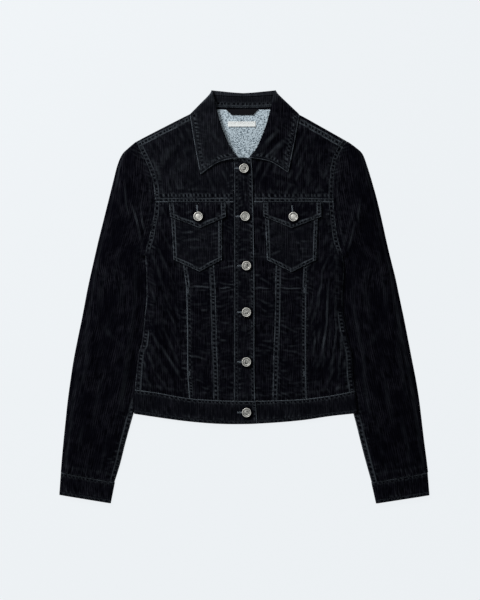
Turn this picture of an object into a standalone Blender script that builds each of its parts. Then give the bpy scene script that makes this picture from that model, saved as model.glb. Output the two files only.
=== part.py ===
"""A cropped trucker jacket, buttoned up and laid flat on its back, sleeves straight down.

The model stands on Z = 0. X runs across the jacket, the wearer's right lies at -X and +Y points to the
collar. The tables and sizes below are in millimetres, and MM turns them into metres when a mesh is made.
Every panel is a wall of cloth that follows its seams in plan, and one shared set of height functions lays
the panels on each other.
"""

import math

import bpy
from mathutils import Vector

MM = 0.001

# ---- driving sizes ---------------------------------------------------------------------------------------
CLOTH = 1.4  # needlecord, one layer
DOUBLE = 2.0  # collar, waistband and cuffs, two layers sewn and pressed
LINING = 1.0  # the woven facing that shows inside the neck
GAP = 0.3  # between pieces at a seam and between layers
STEP = CLOTH + GAP  # from one layer of cloth to the next
YOKE_Y = 171.2  # front yoke seam
BACK_YOKE_Y = 192.0  # back yoke seam
UNDERARM_Y = 74.0
SHOULDER_NECK = (65.5, 340.3)  # where shoulder seam, neck seam and collar meet
PUFF = {"right": 3.3, "left": 1.6}  # how far each front rises off the back, the right one over the left
SLEEVE_LIFT = 4.1  # the body's sides lie this high, on the sleeves tucked under them
SLEEVE_PRESSED = 0.4  # room left inside a sleeve where the body lies on it
SLEEVE_PUFF = 3.4  # and where nothing does
CUFF_PUFF = 1.2
COLLAR_LIFT = DOUBLE + GAP  # the back yoke lies on the collar's turned-down back
UNDER_PLACKET_X = -16.5  # the left front's inner end, hidden under the right one's placket
JOIN_GAP = 2.1  # where stand and leaf meet at an angle
NECK_GAP = 1.0  # and where the stand meets the yokes
LEAF_LOW = DOUBLE / 2 + 0.05  # the lowest that the middle of the collar's cloth lies
FLAP_TOP_Y = 170.4
FLAP_DROP = 13.0  # the flap leaves the yoke and lies on the pocket within this length
POCKET_TOP_Y = 156.0
NECK_FRONT_Y = 250.6  # the neck's front edge is a low arch over the placket
PLACKET_END_X = 1.0  # the waistband's end sticks out past the placket
# y and half width of the back neck facing
FACING_ROWS = ((337.6, 56.0), (300.0, 52.0), (264.0, 42.0), (240.0, 30.0))
# the hanger loop's edges: x from, x to, y
LOOP = {"top": (-33.6, 25.7, 336.8), "bottom": (-22.6, 15.9, 326.3)}
LABEL = (-29.4, 20.8, 315.1, 305.4)  # x from, x to, top y, low y
BUTTON_STEPS = 16

SIDES = {"right": -1, "left": 1}

# ---- tables: each row is a section of the jacket, in mm --------------------------------------------------
# y, then the x of the armhole and, under the arm, of the side seam, on the wearer's right and left
EDGE_ROWS = (
    (276, -193.0, 182.5),
    (260, -185.5, 172.5),
    (243, -176.9, 165.4),
    (213, -165.7, 161.5),
    (184, -160.8, 160.3),
    (159, -160.8, 161.0),
    (134, -164.6, 163.7),
    (110, -169.8, 167.0),
    (90, -175.2, 171.8),
    (74, -177.5, 176.6),
    (45, -176.0, 179.2),
    (0, -175.5, 176.2),
    (-35, -179.0, 178.5),
    (-82, -184.0, 187.5),
    (-102, -190.0, 193.0),
    (-140, -194.0, 195.0),
    (-170, -197.0, 199.5),
    (-212, -198.5, 203.5),
)
# y, then the x of the four seams down the fronts: right outer, right inner, left inner, left outer
SEAM_ROWS = (
    (176, -112.0, -58.0, 60.0, 116.0),
    (55, -109.0, -53.7, 56.5, 113.0),
    (17, -104.5, -51.5, 55.5, 111.5),
    (-45, -103.0, -49.6, 54.5, 111.0),
    (-95, -102.5, -48.6, 52.5, 111.0),
    (-138, -102.0, -46.6, 51.4, 111.2),
    (-190, -98.4, -45.8, 50.5, 112.0),
)
# y, then the x of the placket's seam and of its free edge
PLACKET_ROWS = (
    (250, -19.5, 12.2),
    (223, -19.5, 14.5),
    (171, -19.5, 15.6),
    (119, -19.5, 16.7),
    (18, -19.5, 18.3),
    (-111, -19.8, 18.2),
    (-187, -20.0, 19.6),
    (-230, -20.0, 22.6),
)
# x, then the y of the waistband's seam and of the hem
WAIST_ROWS = (
    (-199, -166.5, -210.0),
    (-159, -172.0, -216.5),
    (-103, -182.0, -224.0),
    (-50, -186.0, -228.3),
    (0, -187.3, -229.0),
    (50, -186.6, -226.8),
    (105, -184.0, -222.0),
    (153, -178.0, -215.0),
    (204, -168.0, -209.0),
)
# x from the middle, then the y of the shoulder seams' outline on the right and on the left
SHOULDER_ROWS = (
    (62, 342.0, 342.0),
    (98, 325.6, 325.3),
    (140, 304.4, 302.1),
    (182.5, 282.5, 278.2),
    (193, 276.8, 272.3),
)
# the sleeve where it hangs on the armhole: outer y, outer x on the right and left, then y on the armhole
CAP_ROWS = (
    (275, -196.0, 186.0, 273),
    (267, -208.0, 199.5, 258),
    (256, -219.0, 211.0, 240),
    (237, -227.5, 218.5, 214),
    (208, -235.0, 227.5, 188),
    (174, -243.5, 237.0, 162),
    (138, -252.5, 245.5, 136),
    (102, -261.5, 253.5, 108),
    (76, -267.5, 259.5, 90),
    (54, -272.5, 265.0, UNDERARM_Y),
)
# the sleeve below it: outer y, outer x right and left, then inner y and inner x right and left
ARM_ROWS = (
    (32, -277.5, 270.5, 64, -167.5, 167.5),
    (8, -282.5, 275.5, 46, -158.0, 158.0),
    (-16, -287.0, 280.5, 20, -153.5, 153.5),
    (-42, -292.0, 286.0, -12, -153.5, 153.5),
    (-78, -299.5, 293.0, -54, -159.5, 159.0),
    (-114, -306.5, 300.0, -98, -169.0, 168.0),
    (-150, -312.0, 307.0, -142, -179.5, 178.0),
    (-186, -317.0, 313.0, -184, -191.5, 189.0),
    (-222, -321.0, 317.8, -224, -203.0, 200.0),
    (-258, -324.8, 322.4, -264, -214.0, 210.0),
    (-287, -327.6, 326.4, -300, -223.0, 219.5),
    (-316, -330.0, 330.0, -333.6, -233.4, 229.0),
)
# the cuff's four corners on each side, from the seam down: outer x and y, inner x and y
CUFF_ROWS = {
    "right": ((-330.2, -316.0, -232.6, -333.8), (-333.0, -356.3, -240.0, -371.6)),
    "left": ((330.2, -316.0, 228.4, -333.8), (333.5, -357.0, 237.0, -372.0)),
}
# half the collar, from its front corner round to the middle of the back. Each row has the neck seam, where
# stand and leaf join, the roll, the top of the leaf behind the roll and the leaf's edge, each as x from the
# middle, y and z. In the first rows z counts from the front yoke's face and in the others from the surface
# that the jacket lies on.
COLLAR_COLUMNS = ("seam", "join", "roll", "top", "edge")
COLLAR_ROWS = (
    ((18.5, 251.8, 0.2), (14.8, 253.8, 0.8), (10.6, 249.4, 3.0), (17.0, 248.6, 5.0), (76.5, 222.4, 1.7)),
    ((36.0, 262.0, 0.0), (30.0, 267.5, 0.5), (23.6, 266.0, 2.7), (30.0, 264.5, 4.7), (82.5, 249.0, 1.7)),
    ((49.0, 283.0, 0.0), (40.4, 289.5, 0.4), (34.0, 288.5, 2.6), (40.4, 287.5, 4.6), (88.5, 277.0, 1.7)),
    ((57.5, 306.0, 0.0), (48.4, 311.0, 0.4), (42.0, 310.5, 2.6), (48.4, 309.5, 4.6), (94.0, 305.0, 1.7)),
    ((61.5, 327.0, 7.2), (54.8, 334.0, 7.6), (48.5, 334.0, 9.8), (54.8, 334.0, 11.8), (97.8, 323.5, 9.0)),
    ((62.0, 335.5, 7.3), (58.2, 349.0, 7.7), (52.6, 353.5, 9.8), (59.0, 349.0, 11.8), (98.4, 325.6, 9.2)),
    ((62.0, 340.5, 7.2), (58.8, 360.5, 7.4), (56.2, 368.0, 8.4), (61.4, 361.5, 10.4), (99.0, 327.2, 7.8)),
    ((62.6, 341.0, 5.4), (59.0, 361.8, 5.8), (57.0, 370.0, 5.9), (62.6, 362.8, 5.9), (99.8, 328.6, 5.0)),
    ((60.0, 340.4, 3.6), (56.2, 362.0, 4.6), (55.6, 370.0, 3.4), (60.0, 362.6, 1.4), (98.2, 327.0, 1.1)),
    ((51.0, 339.8, 3.3), (48.5, 361.8, 5.0), (49.5, 369.4, 3.1), (50.5, 361.8, 1.1), (91.0, 319.0, 1.0)),
    ((41.0, 339.2, 3.3), (39.5, 361.4, 5.0), (40.5, 368.5, 3.0), (41.0, 361.4, 1.1), (75.0, 312.0, 1.0)),
    ((29.0, 338.6, 3.3), (28.5, 360.8, 5.0), (29.0, 367.3, 3.0), (29.0, 360.8, 1.1), (54.0, 307.0, 1.0)),
    ((14.5, 338.4, 3.3), (14.5, 360.0, 5.0), (14.5, 366.0, 3.0), (14.5, 360.0, 1.1), (27.0, 305.0, 1.0)),
    ((0.0, 338.3, 3.3), (0.0, 359.5, 5.0), (0.0, 365.2, 3.0), (0.0, 359.5, 1.1), (0.0, 304.5, 1.0)),
)
COLLAR_OVER_FRONT = 4  # so many of the rows count z from the front yoke
LAST_FRONT_ROW = 5  # the seam meets the front yoke up to this row, folds at the shoulder
FIRST_BACK_ROW = 9  # and meets the back yoke from this one on
COLLAR_MIDDLES = (-1.2, -1.2, -1.2, -0.6, 0.6)  # the x of each column's middle
COLLAR_END_BOW = 6.5  # the leaf's short front edge is bowed this far
# chest pocket and flap: y at the side edges, x of the outer and inner edge, y of the point, x of the point
POCKET_ROWS = {
    "right": {"top": (-131.7, -40.0), "bottom": (-126.8, -40.0), "corner_y": 66.5, "point": (-80.4, 45.0)},
    "left": {"top": (36.8, 132.5), "bottom": (41.0, 129.0), "corner_y": 66.0, "point": (85.0, 44.4)},
}
FLAP_ROWS = {
    "right": {"top": (-135.0, -34.0), "bottom": (-133.0, -33.0), "corner_y": 143.5, "point": (-79.5, 123.0)},
    "left": {"top": (34.5, 138.0), "bottom": (34.5, 138.0), "corner_y": 144.0, "point": (86.0, 123.0)},
}
# the front's buttons, from the neck down, and the two flap buttons: x, y
FRONT_BUTTONS = ((-0.5, 230.5), (1.5, 144.3), (3.9, 55.7), (3.9, -27.8), (3.9, -117.0), (4.1, -207.8))
FLAP_BUTTONS = {"right": (-82.7, 144.2), "left": (87.9, 143.6)}
# the button's turned outline, from the cap's middle out and down to the shank: radius, height over the cloth
BUTTON_PROFILE = (
    (0.0, 3.9),
    (3.2, 3.8),
    (5.6, 3.3),
    (6.6, 3.1),
    (7.6, 3.6),
    (8.5, 3.3),
    (8.8, 2.6),
    (8.2, 1.9),
    (4.4, 1.7),
    (4.0, 0.0),
)
# the largest folds, as soft ridges: start x, y, end x, y, height, half width
SLEEVE_FOLDS = {
    "right": (
        (-217, 218, -207, 146, 2.6, 12),
        (-203, 174, -185, 100, 2.4, 11),
        (-188, 160, -177, 118, 1.6, 8),
        (-262, 20, -300, -190, 1.5, 16),
        (-196, -40, -236, -250, 1.4, 15),
    ),
    "left": (
        (211, 180, 180, 74, 2.8, 12),
        (208, 168, 204, 134, 1.6, 8),
        (258, 40, 290, -170, 1.5, 16),
        (206, -60, 226, -250, 1.4, 15),
    ),
}
BODY_FOLDS = (
    (-158, -80, -118, -168, 1.5, 11),
    (-172, -40, -132, -160, 1.3, 10),
    (128, 40, 138, -90, 1.2, 9),
    (146, 30, 150, -150, 1.5, 12),
    (166, 10, 160, -130, 1.2, 9),
)


# ---- curves through the tables ---------------------------------------------------------------------------
def smooth(t):
    """0 below t = 0, 1 above t = 1 and an even rise between."""
    t = min(1.0, max(0.0, t))
    return t * t * (3.0 - 2.0 * t)


def read(rows, at, column):
    """A table's column at this place, on a smooth curve through the rows, whose first column runs one way."""
    if rows[0][0] > rows[-1][0]:
        rows = rows[::-1]
    last = len(rows) - 1
    i = min(last - 1, max(0, sum(row[0] <= at for row in rows) - 1))

    def slope(k):
        a, b = rows[max(0, k - 1)], rows[min(last, k + 1)]
        return (b[column] - a[column]) / (b[0] - a[0])

    span = rows[i + 1][0] - rows[i][0]
    t = (at - rows[i][0]) / span
    a, b = rows[i][column], rows[i + 1][column]
    rise = a + (b - a) * (3.0 - 2.0 * t) * t * t
    return rise + span * t * (1.0 - t) * (slope(i) * (1.0 - t) - slope(i + 1) * t)


def between(points, u):
    """The point at u = 0, 1, 2 ... along a smooth curve through the points."""
    last = len(points) - 1
    i = min(last - 1, int(u))
    t = u - i
    p0, p1, p2, p3 = (Vector(points[min(last, max(0, i + k))]) for k in (-1, 0, 1, 2))
    bend, twist = 2 * p0 - 5 * p1 + 4 * p2 - p3, 3 * p1 - p0 - 3 * p2 + p3
    return 0.5 * (2 * p1 + (p2 - p0) * t + bend * t**2 + twist * t**3)


def column_of(side):
    """The wearer's right is the first of a table's two sides."""
    return 1 if side == "right" else 2


def edge_x(side, y):
    return read(EDGE_ROWS, y, column_of(side))


def seam_x(side, which, y):
    column = {"right": {"outer": 1, "inner": 2}, "left": {"inner": 3, "outer": 4}}[side][which]
    return read(SEAM_ROWS, y, column)


def placket_x(which, y):
    return read(PLACKET_ROWS, y, 1 if which == "seam" else 2)


def under_placket_x(y):
    """The left front's own placket ends just short of the right front's free edge."""
    return placket_x("edge", y) - 3.0


def waist_y(x):
    return read(WAIST_ROWS, x, 1)


def hem_y(x):
    return read(WAIST_ROWS, x, 2)


def level(y):
    """A seam that runs straight across."""
    return lambda x: y


def upright(x):
    """And one that runs straight down."""
    return lambda y: x


def shoulder_y(side, x):
    return read(SHOULDER_ROWS, abs(x), column_of(side))


# ---- heights: how the layers lie on each other -----------------------------------------------------------
def to_segment(x, y, x0, y0, x1, y1):
    """How far a point is from a straight piece, and where along it, from 0 to 1, it is nearest."""
    dx, dy = x1 - x0, y1 - y0
    t = ((x - x0) * dx + (y - y0) * dy) / (dx * dx + dy * dy)
    t = min(1.0, max(0.0, t))
    return math.hypot(x - x0 - t * dx, y - y0 - t * dy), t


def from_hidden_sleeve(x, y):
    """How far a point of the body is from the part of a sleeve tucked under it, 0 on top of that part."""
    side = "right" if x < 0 else "left"
    column = 4 if side == "right" else 5
    line = [(edge_x(side, UNDERARM_Y), UNDERARM_Y)] + [(row[column], row[3]) for row in ARM_ROWS[:9]]
    if y <= UNDERARM_Y:
        for (x0, y0), (x1, y1) in zip(line, line[1:]):
            if y1 <= y <= y0 and abs(x) >= abs(x0 + (x1 - x0) * (y0 - y) / (y0 - y1)):
                return 0.0
    return min(to_segment(x, y, *a, *b)[0] for a, b in zip(line, line[1:]))


def back_height(x, y):
    """The underside of the back: on the surface, but over a tucked sleeve and over the collar's back."""
    sleeve = SLEEVE_LIFT * smooth((36.0 - from_hidden_sleeve(x, y)) / 32.0)
    collar = COLLAR_LIFT * smooth((y - 238.0) / 64.0)
    return max(sleeve, collar)


def closing(distance):
    """How far the front has risen off the back, 0 to 1, this far from the seam that holds them together."""
    return 1.0 - math.exp(-max(0.0, distance) / 13.0)


def folds(table, x, y):
    """The height that soft ridges add here."""
    total = 0.0
    for x0, y0, x1, y1, height, half in table:
        away, along = to_segment(x, y, x0, y0, x1, y1)
        total += height * math.exp(-((away / half) ** 2)) * math.sin(math.pi * (0.12 + 0.76 * along))
    return total


def front_height(side, x, y):
    """The underside of a front, over the back."""
    to_side = abs(edge_x(side, y)) - abs(x)
    held = closing(to_side) + (1.0 - closing(to_side)) * smooth((y - UNDERARM_Y) / 40.0)
    held *= closing(y - hem_y(x)) * closing(shoulder_y(side, max(abs(x), 62.0)) - y)
    return back_height(x, y) + STEP + PUFF[side] * held


def front_panel_height(side, x, y):
    return front_height(side, x, y) + folds(BODY_FOLDS, x, y)


def over_placket_height(x, y):
    return front_height("left", x, y) + STEP


# ---- cloth -----------------------------------------------------------------------------------------------
def finish(name, hex_colour, roughness, metallic=0.0):
    """A material from a colour as the eye reads it, 0xRRGGBB."""
    material = bpy.data.materials.new(name)
    material.use_nodes = True
    shader = material.node_tree.nodes["Principled BSDF"]
    channels = [(hex_colour >> shift & 255) / 255.0 for shift in (16, 8, 0)]
    linear = [c / 12.92 if c <= 0.04045 else ((c + 0.055) / 1.055) ** 2.4 for c in channels]
    shader.inputs["Base Color"].default_value = (*linear, 1.0)
    shader.inputs["Roughness"].default_value = roughness
    shader.inputs["Metallic"].default_value = metallic
    return material


def add_object(name, mesh, material):
    mesh.materials.append(material)
    piece = bpy.data.objects.new(name, mesh)
    jacket.objects.link(piece)
    return piece


def inset(grid, amount):
    """Moves the grid's rim inwards in plan, so that pieces that share a seam stand apart."""
    last_row, last = len(grid) - 1, len(grid[0]) - 1
    rim = [(0, c) for c in range(last)] + [(r, last) for r in range(last_row)]
    rim += [(last_row, c) for c in range(last, 0, -1)] + [(r, 0) for r in range(last_row, 0, -1)]
    place = [grid[r][c] for r, c in rim]
    for k, (r, c) in enumerate(rim):
        here, before, after = place[k], place[k - 1], place[(k + 1) % len(rim)]
        ways = []
        for a, b in ((before, here), (here, after)):
            run = Vector((b[0] - a[0], b[1] - a[1])).normalized()
            ways.append(Vector((run.y, -run.x)))
        inward = (ways[0] + ways[1]).normalized()
        reach = amount / max(0.5, inward.dot(ways[0]))
        grid[r][c] = (here[0] + reach * inward.x, here[1] + reach * inward.y)


def patch(top, right, bottom, left):
    """A grid of plan points between four lines. Top and bottom run to the right, left and right run down."""
    rows, columns = len(left) - 1, len(top) - 1
    grid = []
    for r in range(rows + 1):
        v = r / rows
        line = []
        for c in range(columns + 1):
            u = c / columns
            point = []
            for k in (0, 1):
                across = (1 - u) * left[r][k] + u * right[r][k]
                down = (1 - v) * top[c][k] + v * bottom[c][k]
                corners = (1 - u) * ((1 - v) * top[0][k] + v * bottom[0][k])
                corners += u * ((1 - v) * top[-1][k] + v * bottom[-1][k])
                point.append(across + down - corners)
            line.append(tuple(point))
        grid.append(line)
    return grid


def straight(start, end, count):
    """Points along a straight line in plan."""
    return [tuple(a + (b - a) * i / count for a, b in zip(start, end)) for i in range(count + 1)]


def line_down(x_at, y_from, y_to, count):
    """Points down a seam given as x at each y."""
    return [(x_at(y), y) for y in (y_from + (y_to - y_from) * i / count for i in range(count + 1))]


def line_across(y_at, x_from, x_to, count):
    """Points along a seam given as y at each x."""
    return [(x, y_at(x)) for x in (x_from + (x_to - x_from) * i / count for i in range(count + 1))]


def meeting(x_at, y_at, start_y):
    """The y at which a seam running down meets a seam running across."""
    y = start_y
    for _ in range(6):
        y = y_at(x_at(y))
    return y


def panel_plan(x_left, x_right, y_top, y_bottom, columns, rows):
    """The plan of a panel between two seams that run down and two that run across."""
    tops = [meeting(x_at, y_top, y_top(0.0)) for x_at in (x_left, x_right)]
    ends = [meeting(x_at, y_bottom, y_bottom(0.0)) for x_at in (x_left, x_right)]
    top = line_across(y_top, x_left(tops[0]), x_right(tops[1]), columns)
    bottom = line_across(y_bottom, x_left(ends[0]), x_right(ends[1]), columns)
    left = line_down(x_left, tops[0], ends[0], rows)
    right = line_down(x_right, tops[1], ends[1], rows)
    return patch(top, right, bottom, left)


def cloth(name, plan, height_at, thickness, material):
    """A wall of cloth over the plan, with its underside at height_at(x, y)."""
    inset(plan, GAP / 2)
    sheet(name, [[(x, y, height_at(x, y)) for x, y in row] for row in plan], thickness, 1.0, material)


def sheet(name, grid, thickness, offset, material):
    """A wall through a grid of points in space. Its rows run down and its columns to the right."""
    columns = len(grid[0])
    points = [Vector(point) * MM for row in grid for point in row]
    faces = []
    for r in range(len(grid) - 1):
        for c in range(columns - 1):
            a = r * columns + c
            faces.append((a, a + columns, a + columns + 1, a + 1))
    mesh = bpy.data.meshes.new(name)
    mesh.from_pydata(points, [], faces)
    mesh.shade_smooth()
    piece = add_object(name, mesh, material)
    wall = piece.modifiers.new("Wall", "SOLIDIFY")
    wall.thickness = thickness * MM
    wall.offset = offset


# ---- pieces ----------------------------------------------------------------------------------------------
def neck_line(side, count):
    """The neck seam in plan from the shoulder seam down to the placket."""
    seams = [row["seam"] for row in collar_points(side)]
    line = [between(seams, LAST_FRONT_ROW * (count - i) / (count - 1)) for i in range(1, count + 1)]
    return [shoulder_neck(side)] + [(p.x, p.y) for p in line]


def back_neck_line():
    """The neck seam across the back, from the right shoulder to the left."""
    halves = []
    for side in SIDES:
        seams = [row["seam"] for row in collar_points(side)]
        last = len(seams) - 1
        line = [between(seams, u) for u in range(FIRST_BACK_ROW, last + 1)]
        halves.append([shoulder_neck(side)] + [(p.x, p.y) for p in line])
    return halves[0] + halves[1][-2::-1]


def shoulder_neck(side):
    """Where the shoulder seam, the neck seam and the collar meet."""
    x, y = SHOULDER_NECK
    return (SIDES[side] * x + COLLAR_MIDDLES[0], y)


def shoulder_line(side, count):
    """The shoulder seam from the armhole to the neck."""
    end = edge_x(side, shoulder_top(side))
    line = line_across(lambda x: shoulder_y(side, x), end, shoulder_neck(side)[0], count)
    return line[:-1] + [shoulder_neck(side)]


def shoulder_top(side):
    return meeting(lambda y: edge_x(side, y), lambda x: shoulder_y(side, x), 275.0)


def back_seam_x(y):
    """The back's two seams lean out from the waistband up to the yoke."""
    return 62.0 + 0.055 * (y - waist_y(0.0))


def make_back(cord):
    armholes = {s: line_down(lambda y, s=s: edge_x(s, y), shoulder_top(s), BACK_YOKE_Y, 9) for s in SIDES}
    top = shoulder_line("right", 7)[:-1] + back_neck_line() + shoulder_line("left", 7)[::-1][1:]
    bottom = line_across(level(BACK_YOKE_Y), armholes["right"][-1][0], armholes["left"][-1][0], len(top) - 1)
    cloth("back_yoke", patch(top, armholes["left"], bottom, armholes["right"]), back_height, CLOTH, cord)
    seams = {s: (lambda y, sign=sign: sign * back_seam_x(y)) for s, sign in SIDES.items()}
    plan = panel_plan(seams["right"], seams["left"], level(BACK_YOKE_Y), waist_y, 8, 10)
    cloth("back_centre", plan, back_height, CLOTH, cord)
    for side in SIDES:
        lines = [lambda y, s=side: edge_x(s, y), seams[side]]
        plan = panel_plan(*lines[:: -SIDES[side]], level(BACK_YOKE_Y), waist_y, 9, 24)
        cloth(f"back_side_{side}", plan, back_height, CLOTH, cord)


def make_fronts(cord):
    for side, sign in SIDES.items():
        placket = (lambda y: placket_x("seam", y)) if side == "right" else under_placket_x
        lines = {
            "placket": placket,
            "inner": lambda y, s=side: seam_x(s, "inner", y),
            "outer": lambda y, s=side: seam_x(s, "outer", y),
            "edge": lambda y, s=side: edge_x(s, y),
        }
        height = lambda x, y, s=side: front_height(s, x, y)
        folded = lambda x, y, s=side: front_panel_height(s, x, y)
        for name, far, near, columns, rows, height_at in (
            ("centre", "inner", "placket", 2, 14, height),
            ("mid", "outer", "inner", 4, 16, height),
            ("side", "edge", "outer", 6, 30, folded),
        ):
            pair = (lines[far], lines[near])
            plan = panel_plan(*pair[::-sign], level(YOKE_Y), waist_y, columns, rows)
            cloth(f"front_{name}_{side}", plan, height_at, CLOTH, cord)
        neck = neck_line(side, 8)
        edge = neck[:-1] + line_down(placket, neck[-1][1] - 4.0, YOKE_Y, 4)
        armhole = line_down(lines["edge"], shoulder_top(side), YOKE_Y, len(edge) - 1)
        top = shoulder_line(side, 9)
        bottom = line_across(level(YOKE_Y), armhole[-1][0], edge[-1][0], len(top) - 1)
        if side == "right":
            plan = patch(top, edge, bottom, armhole)
        else:
            plan = patch(top[::-1], armhole, bottom[::-1], edge)
        cloth(f"front_yoke_{side}", plan, height, CLOTH, cord)


def placket_top(x):
    return NECK_FRONT_Y - 0.0135 * (x + 2.0) ** 2


def make_plackets(cord):
    seam, edge = (lambda y, w=which: placket_x(w, y) for which in ("seam", "edge"))
    plan = panel_plan(seam, edge, placket_top, waist_y, 3, 30)
    cloth("placket_right", plan, over_placket_height, CLOTH, cord)
    plan = panel_plan(upright(UNDER_PLACKET_X), under_placket_x, placket_top, waist_y, 3, 30)
    cloth("placket_left", plan, lambda x, y: front_height("left", x, y), CLOTH, cord)


def waistband_height(side, x, y):
    """The underside of a front end of the waistband. The right end climbs over the left one."""
    to_side = closing(abs(edge_x(side, y)) - abs(x))
    low = back_height(x, y) + DOUBLE + GAP + PUFF["left"] * to_side * closing(y - hem_y(x))
    if side == "left":
        return low
    return low + (DOUBLE + GAP) * smooth((x + 150.0) / 120.0) * to_side


def make_waistband(cord):
    edges = {s: (lambda y, s=s: edge_x(s, y)) for s in SIDES}
    plan = panel_plan(edges["right"], edges["left"], waist_y, hem_y, 28, 3)
    cloth("waistband_back", plan, back_height, DOUBLE, cord)
    plan = panel_plan(edges["right"], lambda y: placket_x("edge", y) + PLACKET_END_X, waist_y, hem_y, 18, 3)
    cloth("waistband_right", plan, lambda x, y: waistband_height("right", x, y), DOUBLE, cord)
    plan = panel_plan(upright(UNDER_PLACKET_X), edges["left"], waist_y, hem_y, 18, 3)
    cloth("waistband_left", plan, lambda x, y: waistband_height("left", x, y), DOUBLE, cord)


def pointed_plan(spec, top_y, half_columns, rows):
    """The plan of a pocket or flap with a pointed lower edge."""
    (left, right), (low_left, low_right), (point_x, point_y) = spec["top"], spec["bottom"], spec["point"]
    corner_y = spec["corner_y"]
    middle = (left + (right - left) * (point_x - low_left) / (low_right - low_left), top_y)
    point, low_corners = (point_x, point_y), ((low_left, corner_y), (low_right, corner_y))
    top = straight((left, top_y), middle, half_columns) + straight(middle, (right, top_y), half_columns)[1:]
    bottom = straight(low_corners[0], point, half_columns) + straight(point, low_corners[1], half_columns)[1:]
    sides = [straight(a, b, rows) for a, b in zip((top[0], top[-1]), low_corners)]
    return patch(top, sides[1], bottom, sides[0])


def flap_height(side, x, y):
    """The flap comes out of the yoke seam and drops over the pocket's mouth."""
    over_pocket = smooth((FLAP_TOP_Y - y) / FLAP_DROP)
    return front_height(side, x, y) + STEP + STEP * over_pocket


def make_pockets(cord):
    for side in SIDES:
        plan = pointed_plan(POCKET_ROWS[side], POCKET_TOP_Y, 4, 6)
        cloth(f"pocket_{side}", plan, lambda x, y, s=side: front_height(s, x, y) + STEP, CLOTH, cord)
        plan = pointed_plan(FLAP_ROWS[side], FLAP_TOP_Y, 4, 4)
        cloth(f"flap_{side}", plan, lambda x, y, s=side: flap_height(s, x, y), CLOTH, cord)


def sleeve_sections(side):
    """The outer and inner ends of each section across a sleeve, from the shoulder to the cuff."""
    column = column_of(side)
    rows = [(row[column], row[0], edge_x(side, row[3]), row[3]) for row in CAP_ROWS]
    return rows + [(row[column], row[0], row[3 + column], row[3]) for row in ARM_ROWS]


def sleeve_stations():
    """Where along the table a sleeve's sections are taken: twice as close beside the armhole."""
    cap = len(CAP_ROWS) - 1
    return [i / 2 for i in range(2 * cap)] + [cap + i for i in range(len(ARM_ROWS) + 1)]


def sleeve_plan(side, columns):
    sections = sleeve_sections(side)
    outer = [(row[0], row[1], 0.0) for row in sections]
    cap = len(CAP_ROWS) - 1
    grid = []
    for u in sleeve_stations():
        a = between(outer, u)
        b = between([(row[2], row[3], 0.0) for row in sections], u)
        if u <= cap:
            b.x = edge_x(side, b.y)
        line = [tuple((a.lerp(b, c / columns)).xy) for c in range(columns + 1)]
        grid.append(line if side == "right" else line[::-1])
    return grid


def from_body(side, x, y):
    """How far a point of a sleeve is from the side of the body that lies on it, 0 under the body."""
    out = max(0.0, abs(x) - abs(edge_x(side, y)))
    past = max(0.0, y - UNDERARM_Y, hem_y(x) - y)
    return math.hypot(out, past)


def sleeve_height(side, t, u, x, y):
    """The underside of the sleeve's upper half. t runs from the outer fold inwards, u down the sleeve."""
    cap = len(CAP_ROWS) - 1
    rise = smooth(t / 0.2)
    free = smooth((from_body(side, x, y) - 3.0) / 26.0)
    puff = SLEEVE_PRESSED + (SLEEVE_PUFF - SLEEVE_PRESSED) * free
    closed = puff * rise * smooth((1.0 - t) / 0.16)
    at_seam = front_height(side, x, y) - STEP
    open_top = rise * (SLEEVE_PUFF + (at_seam - SLEEVE_PUFF) * smooth((t - 0.35) / 0.6))
    joined = smooth((cap - u) / 3.0)
    relief = folds(SLEEVE_FOLDS[side], x, y) * rise * smooth((0.98 - t) / 0.2) * free
    return STEP + closed * (1.0 - joined) + open_top * joined + relief


def make_sleeves(cord):
    columns = 12
    for side in SIDES:
        plan = sleeve_plan(side, columns)
        inset(plan, GAP / 2)
        grid = []
        for u, row in zip(sleeve_stations(), plan):
            line = []
            for c, (x, y) in enumerate(row):
                t = c / columns if side == "right" else 1.0 - c / columns
                line.append((x, y, sleeve_height(side, t, u, x, y)))
            grid.append(line)
        sheet(f"sleeve_upper_{side}", grid, CLOTH, 1.0, cord)
        cloth(f"sleeve_under_{side}", sleeve_plan(side, 4), lambda x, y: 0.0, CLOTH, cord)


def cuff_plan(side):
    (x0, y0, x1, y1), (x2, y2, x3, y3) = CUFF_ROWS[side]
    seam, hem = straight((x0, y0), (x1, y1), 8), straight((x2, y2), (x3, y3), 8)
    rows = [[tuple(Vector(a).lerp(Vector(b), v)) for a, b in zip(seam, hem)] for v in (0.0, 0.5, 1.0)]
    return rows if side == "right" else [row[::-1] for row in rows]


def cuff_height(side, x):
    """The underside of a cuff's upper half, a little domed."""
    ends = [CUFF_ROWS[side][0][k] for k in (0, 2)]
    to_edge = abs(ends[0] - ends[1]) / 2 - abs(x - sum(ends) / 2)
    return DOUBLE + GAP + CUFF_PUFF * smooth(to_edge / 18.0)


def make_cuffs(cord):
    for side in SIDES:
        cloth(f"cuff_upper_{side}", cuff_plan(side), lambda x, y, s=side: cuff_height(s, x), DOUBLE, cord)
        cloth(f"cuff_under_{side}", cuff_plan(side), lambda x, y: 0.0, DOUBLE, cord)


def collar_points(side):
    """The collar's table on one side, in the jacket's own frame."""
    sign = SIDES[side]
    found = []
    for i, row in enumerate(COLLAR_ROWS):
        base = front_height(side, sign * 70.0, row[0][1]) + CLOTH if i < COLLAR_OVER_FRONT else 0.0
        line = {}
        for name, middle, (x, y, z) in zip(COLLAR_COLUMNS, COLLAR_MIDDLES, row):
            line[name] = Vector((sign * x + middle, y, z + base))
        belly = line["top"].lerp(line["edge"], 0.5)
        belly.z -= 0.6 * (line["top"].z - line["edge"].z) * 0.5
        belly.y += COLLAR_END_BOW * max(0.0, 1.0 - i)
        line["belly"] = belly
        found.append(line)
    return found


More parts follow.
